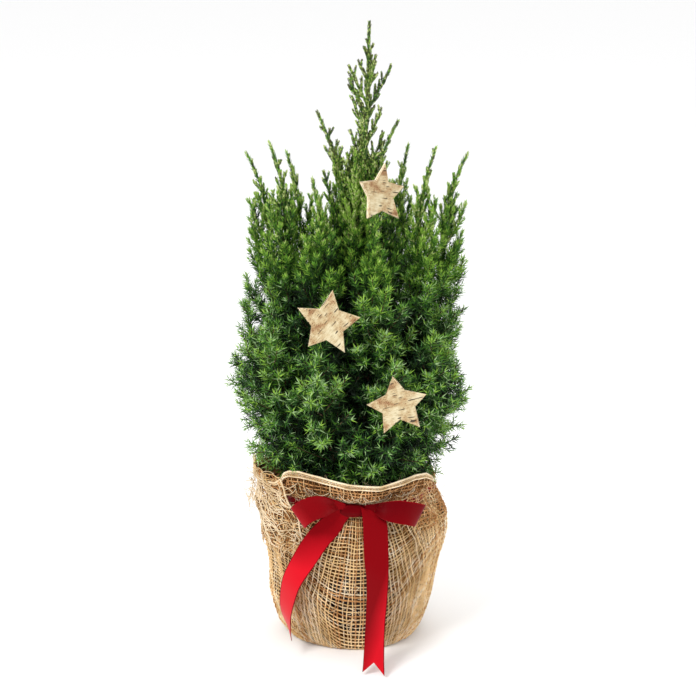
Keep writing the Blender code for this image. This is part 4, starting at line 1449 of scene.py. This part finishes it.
            # A random tone for each shoot; shoots nearer their parent's foot get darker tints as painted shade.
            own = shade + rng.choice((-0.6, -0.3, 0.0, 0.4, 0.9)) * (1.0 + 0.6 * opened, 0.3, 0.0)[order]
            own += (0.3, 0.6, 0.3)[order] * (gone / total) * max(opened, 0.45)
            thick = lerp(*habit.thick, opened)
            self.twigs.append((line, thick, thick * 0.7, order == 0 and opened > 0.7))
            self.clothe(line, 0.0008, thick * 0.8, rng, own)
            if order < 2 and length > (0.0, 0.010, 0.0)[order]:
                self.sprout(line, order + 1, top, rng, own)

    def grow(self, bough: Bough, number: int) -> None:
        """Grow one mass: its stem and its shoots.

        Args:
            bough: the limb.
            number: its number, which seeds it.
        """
        rng = random.Random(self.seed * 100 + number)
        low = bough.name.startswith("low")
        first = 0.0 if bough is self.leader else (0.17 if low else 0.24)
        parts = 40
        stem = [self.point(bough, lerp(first, 1.0, step / parts)) for step in range(parts + 1)]
        half = parts // 2
        self.twigs.append((stem[: half + 1], 1.35 * MM, 1.00 * MM, bough is not self.leader))
        self.twigs.append((stem[half:], 1.00 * MM, 0.80 * MM, False))
        shade = rng.uniform(-0.45, 0.45) - self.lit.get(bough.name, 0.0)
        self.breadth = 1.3 if bough is self.leader else (1.15 if bough.name.startswith("high") else 0.9)
        self.clothe(stem[parts // 8 :], 0.0, 0.85 * MM, rng, shade + 0.2)
        self.sprout(stem, 0, bough.tip[2] + 0.001, rng, shade)

    def carriers(self) -> None:
        """Shoots that reach from the nearest stems to the back of each star, so that foliage carries it."""
        rng = random.Random(self.seed + 5)
        stems = [self.point(bough, lerp(0.3, 1.0, step / 30)) for bough in self.boughs for step in range(31)]
        for number, (x, y, z) in enumerate(self.perches):
            for side, drop in ((-0.011, 0.010), (0.009, 0.004), (0.0, -0.007)):
                goal = Vector((x + side, y + 0.009, z - drop))
                root = min(stems, key=lambda spot: (spot - goal + Vector((0.0, 0.0, 0.022))).length)
                way = goal - root
                line = self.shoot(root, way.normalized(), way.length * 0.96, 0.10, 6)
                self.twigs.append((line, 0.6 * MM, 0.4 * MM, False))
                self.clothe(line, 0.002, 0.5 * MM, rng, 0.1 * number)
                self.sprout(line, 1, 0.440, rng, 0.1)

    def heart(self) -> None:
        """Shaded shoots on the trunk, which close the crown's inside."""
        rng = random.Random(self.seed)
        height, number = 0.136, 0
        while height < 0.398:
            rise = (height - 0.136) / 0.264
            turn = GOLDEN_ANGLE * number
            angle = math.radians(lerp(76, 30, rise**0.7))
            along = Vector((math.cos(turn) * math.sin(angle), math.sin(turn) * math.sin(angle), math.cos(angle)))
            length = lerp(0.080, 0.036, min(1.0, 2.2 * rise)) * rng.uniform(0.8, 1.05)
            spots = self.shoot(self.trunk_point(height), along, length, lerp(0.25, 0.45, rise), 6)
            self.twigs.append((spots, 0.7 * MM, 0.4 * MM, True))
            self.clothe(spots, 0.004, 0.5 * MM, rng, 0.3)
            self.sprout(spots, 1, 0.440, rng, 0.3)
            height += 0.0034
            number += 1

    def needle_meshes(self, finishes: tuple) -> None:
        """Turn every whorl into needles, slim closed awls with a keel below, and join them in pieces.

        Args:
            finishes: one material for each tint.
        """
        rng = np.random.default_rng(self.seed)
        whorl = np.concatenate(self.whorls)
        whorl = np.repeat(whorl, 3, axis=0)
        count = len(whorl)
        third = np.tile(np.arange(3), count // 3)
        where, ways = whorl[:, 0:3], whorl[:, 3:6] / np.linalg.norm(whorl[:, 3:6], axis=1, keepdims=True)
        opened, left, light = whorl[:, 7], whorl[:, 8], whorl[:, 9]
        tip_share = np.clip(1.0 - left / 0.006, 0.0, 1.0)
        side = np.cross(ways, np.array((0.31, 0.17, 0.93)))
        side /= np.linalg.norm(side, axis=1, keepdims=True)
        up = np.cross(side, ways)
        angle = whorl[:, 6] + third * (2.0 * math.pi / 3.0) + rng.normal(0.0, 0.20, count)
        out = side * np.cos(angle)[:, None] + up * np.sin(angle)[:, None]
        spread = np.radians(19.0 + 37.0 * opened**1.3) * (1.0 - (0.55 - 0.25 * opened) * tip_share**2) + rng.normal(0.0, 0.10, count)
        leaf = ways * np.cos(spread)[:, None] + out * np.sin(spread)[:, None]
        size = (2.3 + 5.1 * opened**1.2) * MM * (1.0 - 0.20 * tip_share**2) * rng.uniform(0.80, 1.15, count)
        where = where + out * whorl[:, 10:11]
        tips = where + leaf * size[:, None]
        kept = (np.hypot(tips[:, 0] - self.middle_x, tips[:, 1]) < 0.1085) & (tips[:, 2] < self.tip_z + 0.001)
        kept &= (tips[:, 2] > 0.135) | (np.hypot(tips[:, 0], tips[:, 1]) < 0.055)
        where, leaf, size, ways, opened, light, tips, left = (
            values[kept] for values in (where, leaf, size, ways, opened, light, tips, left)
        )
        count = len(where)
        flat = np.cross(leaf, ways)
        flat /= np.maximum(np.linalg.norm(flat, axis=1, keepdims=True), 1e-9)
        back = np.cross(leaf, flat)
        half = ((0.80 - 0.24 * opened) * MM)[:, None]
        belly = where + leaf * (size * 0.14)[:, None]
        corner = np.stack((belly + flat * half, belly - flat * half, belly + back * half * 0.8, tips), axis=1)
        # Each needle's tint step comes from its whorl's light, which holds painted shade and painted light, with random
        # tone on top.
        step = np.clip(np.rint(light + rng.normal(0.0, 1.0, count) * (1.25 - 0.35 * opened)), 0, LADDER_STEPS - 1).astype(int)
        cold = rng.random(count) < np.clip((opened - 0.80) * 2.2, 0.0, 0.42) + 0.15 * opened * (light < 2.0)
        olive = rng.random(count) < 0.70 * (1.0 - opened / 0.75)
        tone = step + cold * LADDER_STEPS + olive * 2 * LADDER_STEPS
        bud = (left < 0.0040) & (rng.random(count) < 0.55 - 2.4 * opened)
        tone[bud] = TONES.index(Tone.BUD)
        sides = np.array(((0, 3, 1), (1, 3, 2), (2, 3, 0), (0, 1, 2)))
        chunk = 49000
        LOG.info("needles: %d", count)
        for number, start in enumerate(range(0, count, chunk)):
            stop = min(count, start + chunk)
            points = corner[start:stop].reshape(-1, 3)
            offsets = np.arange(stop - start)[:, None, None] * 4
            faces = (sides[None] + offsets).reshape(-1, 3)
            slots = np.repeat(tone[start:stop][:, None], 4, axis=1)
            striped = cold[start:stop] & (step[start:stop] >= 2) & (rng.random(stop - start) < 0.5)
            slots[striped, 0] = TONES.index(Tone.STRIPE)
            name = f"needles_{number + 1}"
            mesh = mesh_from(name, points, faces, slots.ravel())
            mesh.polygons.foreach_set("use_smooth", np.zeros(len(faces), dtype=bool))
            masses = ("foliage_leader", *(f"foliage_{bough.name}" for bough in self.boughs)) if number == 0 else ()
            place(mesh, name, finishes, "needle", masses)

    def twig_meshes(self, bark: bpy.types.Material, green: bpy.types.Material) -> None:
        """Twigs as slim tapered tubes, woody ones apart from green ones."""
        for name, finish, woody in (("twigs_woody", bark, True), ("twigs_green", green, False)):
            points, faces, base = [], [], 0
            for spots, thick, thin, kind in self.twigs:
                if kind != woody:
                    continue
                line = np.array([tuple(spot) for spot in spots])[None]
                normal = np.zeros_like(line) + np.array((0.31, 0.17, 0.93))
                made, quads = tubes(line, normal, np.linspace(thick, thin, line.shape[1])[None], False, 3)
                points.append(made)
                faces.append(quads + base)
                base += len(made)
            place(mesh_from(name, np.concatenate(points), np.concatenate(faces)), name, (finish,), "bark")

    def limbs(self, bark: bpy.types.Material) -> None:
        """Trunk and boughs with bark relief."""
        spans = []
        heights = [lerp(self.trunk_foot_z, self.trunk_top_z, (step / 60) ** 1.4) for step in range(61)]
        spans.append(("trunk", [self.trunk_point(h) for h in heights], [self.trunk_radius(h) for h in heights]))
        for bough in self.boughs:
            shares = [lerp(0.03, self.bare, step / 12) for step in range(13)]
            spots = [self.point(bough, share) for share in shares]
            spans.append(("bough_" + bough.name, spots, [lerp(1.9, 1.3, step / 12) * MM for step in range(13)]))
        points, faces, base, around = [], [], 0, 16
        for name, spots, radii in spans:
            for index, (spot, radius) in enumerate(zip(spots, radii)):
                ahead = spots[min(index + 1, len(spots) - 1)] - spots[max(index - 1, 0)]
                side = ahead.orthogonal().normalized() if name != "trunk" else Vector((1, 0, 0))
                up = ahead.normalized().cross(side).normalized()
                side = up.cross(ahead.normalized())
                for step in range(around):
                    turn = 2 * math.pi * step / around
                    ridge = 1.0 + 0.07 * math.sin(5 * turn + 9.0 * index / 10.0) + 0.04 * math.sin(3 * turn + index)
                    points.append(tuple(spot + (side * math.cos(turn) + up * math.sin(turn)) * radius * ridge))
            for index in range(len(spots) - 1):
                for step in range(around):
                    after = (step + 1) % around
                    low, high = base + index * around, base + (index + 1) * around
                    faces.append((low + step, low + after, high + after, high + step))
            base = len(points)
        mesh = mesh_from("limbs_bark", np.array(points), np.array(faces))
        place(mesh, "limbs_bark", (bark,), "bark", ("trunk", *(f"bough_{bough.name}" for bough in self.boughs)))

    def trunk_radius(self, height: float) -> float:
        """The trunk's radius: a taper and a root flare."""
        rise = height - self.trunk_foot_z
        taper = lerp(0.0052, 0.0013, min(1.0, rise / (self.trunk_top_z - self.trunk_foot_z)))
        return taper + 0.0033 * math.exp(-rise / 0.006)

    def build(self) -> None:
        """Grow the crown and dress it."""
        bark = RoughBark("juniper_bark_stringy", "#4f3826", 0.85, 0.0, 0.3).make()
        green = Finish("green_shoot_skin", "#44682a", 0.6, 0.0, 0.3).make()
        tints = tuple(WaxyNeedle("needle_" + tone.name.lower(), tone.value, 0.5, 0.0, 0.25).make() for tone in TONES)
        for number, bough in enumerate((self.leader, *self.boughs)):
            self.grow(bough, number)
        self.heart()
        self.carriers()
        self.needle_meshes(tints)
        self.twig_meshes(bark, green)
        self.limbs(bark)


@dataclass
class BarkStars:
    """Three birch bark stars hung on the foliage."""

    thickness: float = 2.8 * MM
    stars: dict = field(
        default_factory=lambda: {
            "star_top": (
                (0.0211, -0.0600, 0.3903), (38.0, 4.0, 12.0),
                ((-0.9, 24.4), (4.7, 9.8), (21.2, 7.8), (11.7, -2.9), (20.1, -18.3),
                 (2.1, -13.4), (-11.9, -20.7), (-14.0, -4.0), (-23.7, 7.2), (-8.7, 10.0)),
            ),
            "star_left": (
                (-0.0223, -0.0800, 0.2893), (4.0, 8.0, -48.0),
                ((22.1, 14.9), (13.4, 0.3), (20.3, -16.3), (2.8, -13.4), (-9.1, -25.6),
                 (-11.3, -7.8), (-24.6, -0.3), (-10.7, 8.6), (-7.0, 26.7), (4.0, 12.8)),
            ),
            "star_right": (
                (0.0330, -0.0905, 0.2236), (-6.0, 8.0, -16.0),
                ((2.3, 24.5), (8.6, 11.1), (24.6, 3.4), (13.3, -4.0), (12.8, -20.8),
                 (-0.9, -11.0), (-16.6, -18.7), (-13.3, -2.7), (-24.0, 7.1), (-7.0, 11.1)),
            ),
        }
    )

    def build(self) -> None:
        """Cut and place the stars."""
        bark = BirchBark("birch_bark_peeled", "#c3b08a", 0.7, 0.0, 0.3).make()
        wood = RoughBark("birch_ply_sawn_edge", "#efe0c0", 0.7, 0.0, 0.3, 1.0, "#cdb68c", "#fbf2de").make()
        for name, (centre, (yaw, pitch, roll), corners) in self.stars.items():
            shape = bmesh.new()
            face = shape.faces.new([shape.verts.new((x * MM, 0.0, z * MM)) for x, z in corners])
            made = bmesh.ops.extrude_face_region(shape, geom=[face])
            bmesh.ops.translate(
                shape, vec=(0, self.thickness, 0), verts=[v for v in made["geom"] if isinstance(v, bmesh.types.BMVert)]
            )
            bmesh.ops.recalc_face_normals(shape, faces=shape.faces)
            rim = [edge for edge in shape.edges if abs(edge.verts[0].co.y - edge.verts[1].co.y) < 1e-6]
            bmesh.ops.bevel(shape, geom=rim, offset=0.60 * MM, segments=2, affect="EDGES")
            for polygon in shape.faces:
                polygon.material_index = 0 if abs(polygon.normal.y) > 0.97 else 1
            mesh = bpy.data.meshes.new(name)
            shape.to_mesh(mesh)
            shape.free()
            obj = place(mesh, name, (bark, wood), "bark")
            turn = (
                Matrix.Rotation(math.radians(yaw), 4, "Z")
                @ Matrix.Rotation(math.radians(-pitch), 4, "X")
                @ Matrix.Rotation(math.radians(roll), 4, "Y")
            )
            obj.matrix_world = Matrix.Translation(centre) @ turn


@dataclass
class Studio:
    """Floor, soft lights and the camera at the photograph's angle."""

    elevation: float = 15.0
    distance: float = 2.0
    lens: float = 124.138
    aim: tuple = (-0.0067, 0.0, 0.2475)

    def lamp(self, name: str, spot: tuple, size: float, watts: float, aim: tuple) -> None:
        """One soft square lamp aimed at a point."""
        data = bpy.data.lights.new(name, "AREA")
        data.size = size
        data.energy = watts
        obj = bpy.data.objects.new(name, data)
        obj.location = spot
        obj.rotation_euler = (Vector(aim) - Vector(spot)).to_track_quat("-Z", "Y").to_euler()
        bpy.context.scene.collection.objects.link(obj)

    def build(self) -> None:
        """Make the stage."""
        scene = bpy.context.scene
        mesh = bpy.data.meshes.new("floor")
        half = 6.0
        mesh.from_pydata([(-half, -half, 0), (half, -half, 0), (half, half, 0), (-half, half, 0)], [], [(0, 1, 2, 3)])
        floor = bpy.data.objects.new("floor", mesh)
        mesh.materials.append(Finish("matt_white_sweep", "#fafafa", 0.9).make())
        scene.collection.objects.link(floor)
        floor.location.z = -0.0002
        world = bpy.data.worlds.new("studio_air")
        world.use_nodes = True
        sky = world.node_tree.nodes["Background"]
        sky.inputs["Color"].default_value = linear("#ffffff")
        sky.inputs["Strength"].default_value = 1.0
        scene.world = world
        self.lamp("key", (-1.0, -1.4, 1.9), 0.7, 30.0, (0, 0, 0.25))
        self.lamp("fill", (1.6, -1.2, 1.0), 1.4, 4.0, (0, 0, 0.2))
        self.lamp("top", (0.2, 0.6, 2.0), 1.2, 8.0, (0, 0, 0.3))
        data = bpy.data.cameras.new("camera")
        data.sensor_width = 36.0
        data.lens = self.lens
        camera = bpy.data.objects.new("camera", data)
        tilt = math.radians(self.elevation)
        camera.location = (
            self.aim[0], -self.distance * math.cos(tilt), self.aim[2] + self.distance * math.sin(tilt)
        )
        camera.rotation_euler = (math.pi / 2 - tilt, 0.0, 0.0)
        scene.collection.objects.link(camera)
        scene.camera = camera
        scene.view_settings.view_transform = "Standard"


def dress_pot() -> None:
    """Give the pot and its soil their finishes."""
    for node, finish in (
        ("nursery_pot", MouldedPlastic("polypropylene_thermoformed", "#1b1512", 0.45, 0.0, 0.5)),
        ("potting_soil", MoistPeat("peat_moist", "#241811", 0.95, 0.0, 0.2)),
    ):
        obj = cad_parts[node]
        obj.data.materials.clear()
        obj.data.materials.append(finish.make())


def main() -> None:
    """Build the whole scene in order."""
    logging.basicConfig(level=logging.INFO, format="%(message)s")
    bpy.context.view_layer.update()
    studio = Studio()
    studio.build()
    dress_pot()
    wrap = JuteWrap()
    wrap.build()
    RibbonBow().build(wrap)
    Crown().build()
    BarkStars().build()
    bpy.context.view_layer.update()


if __name__ == "__main__":
    main()
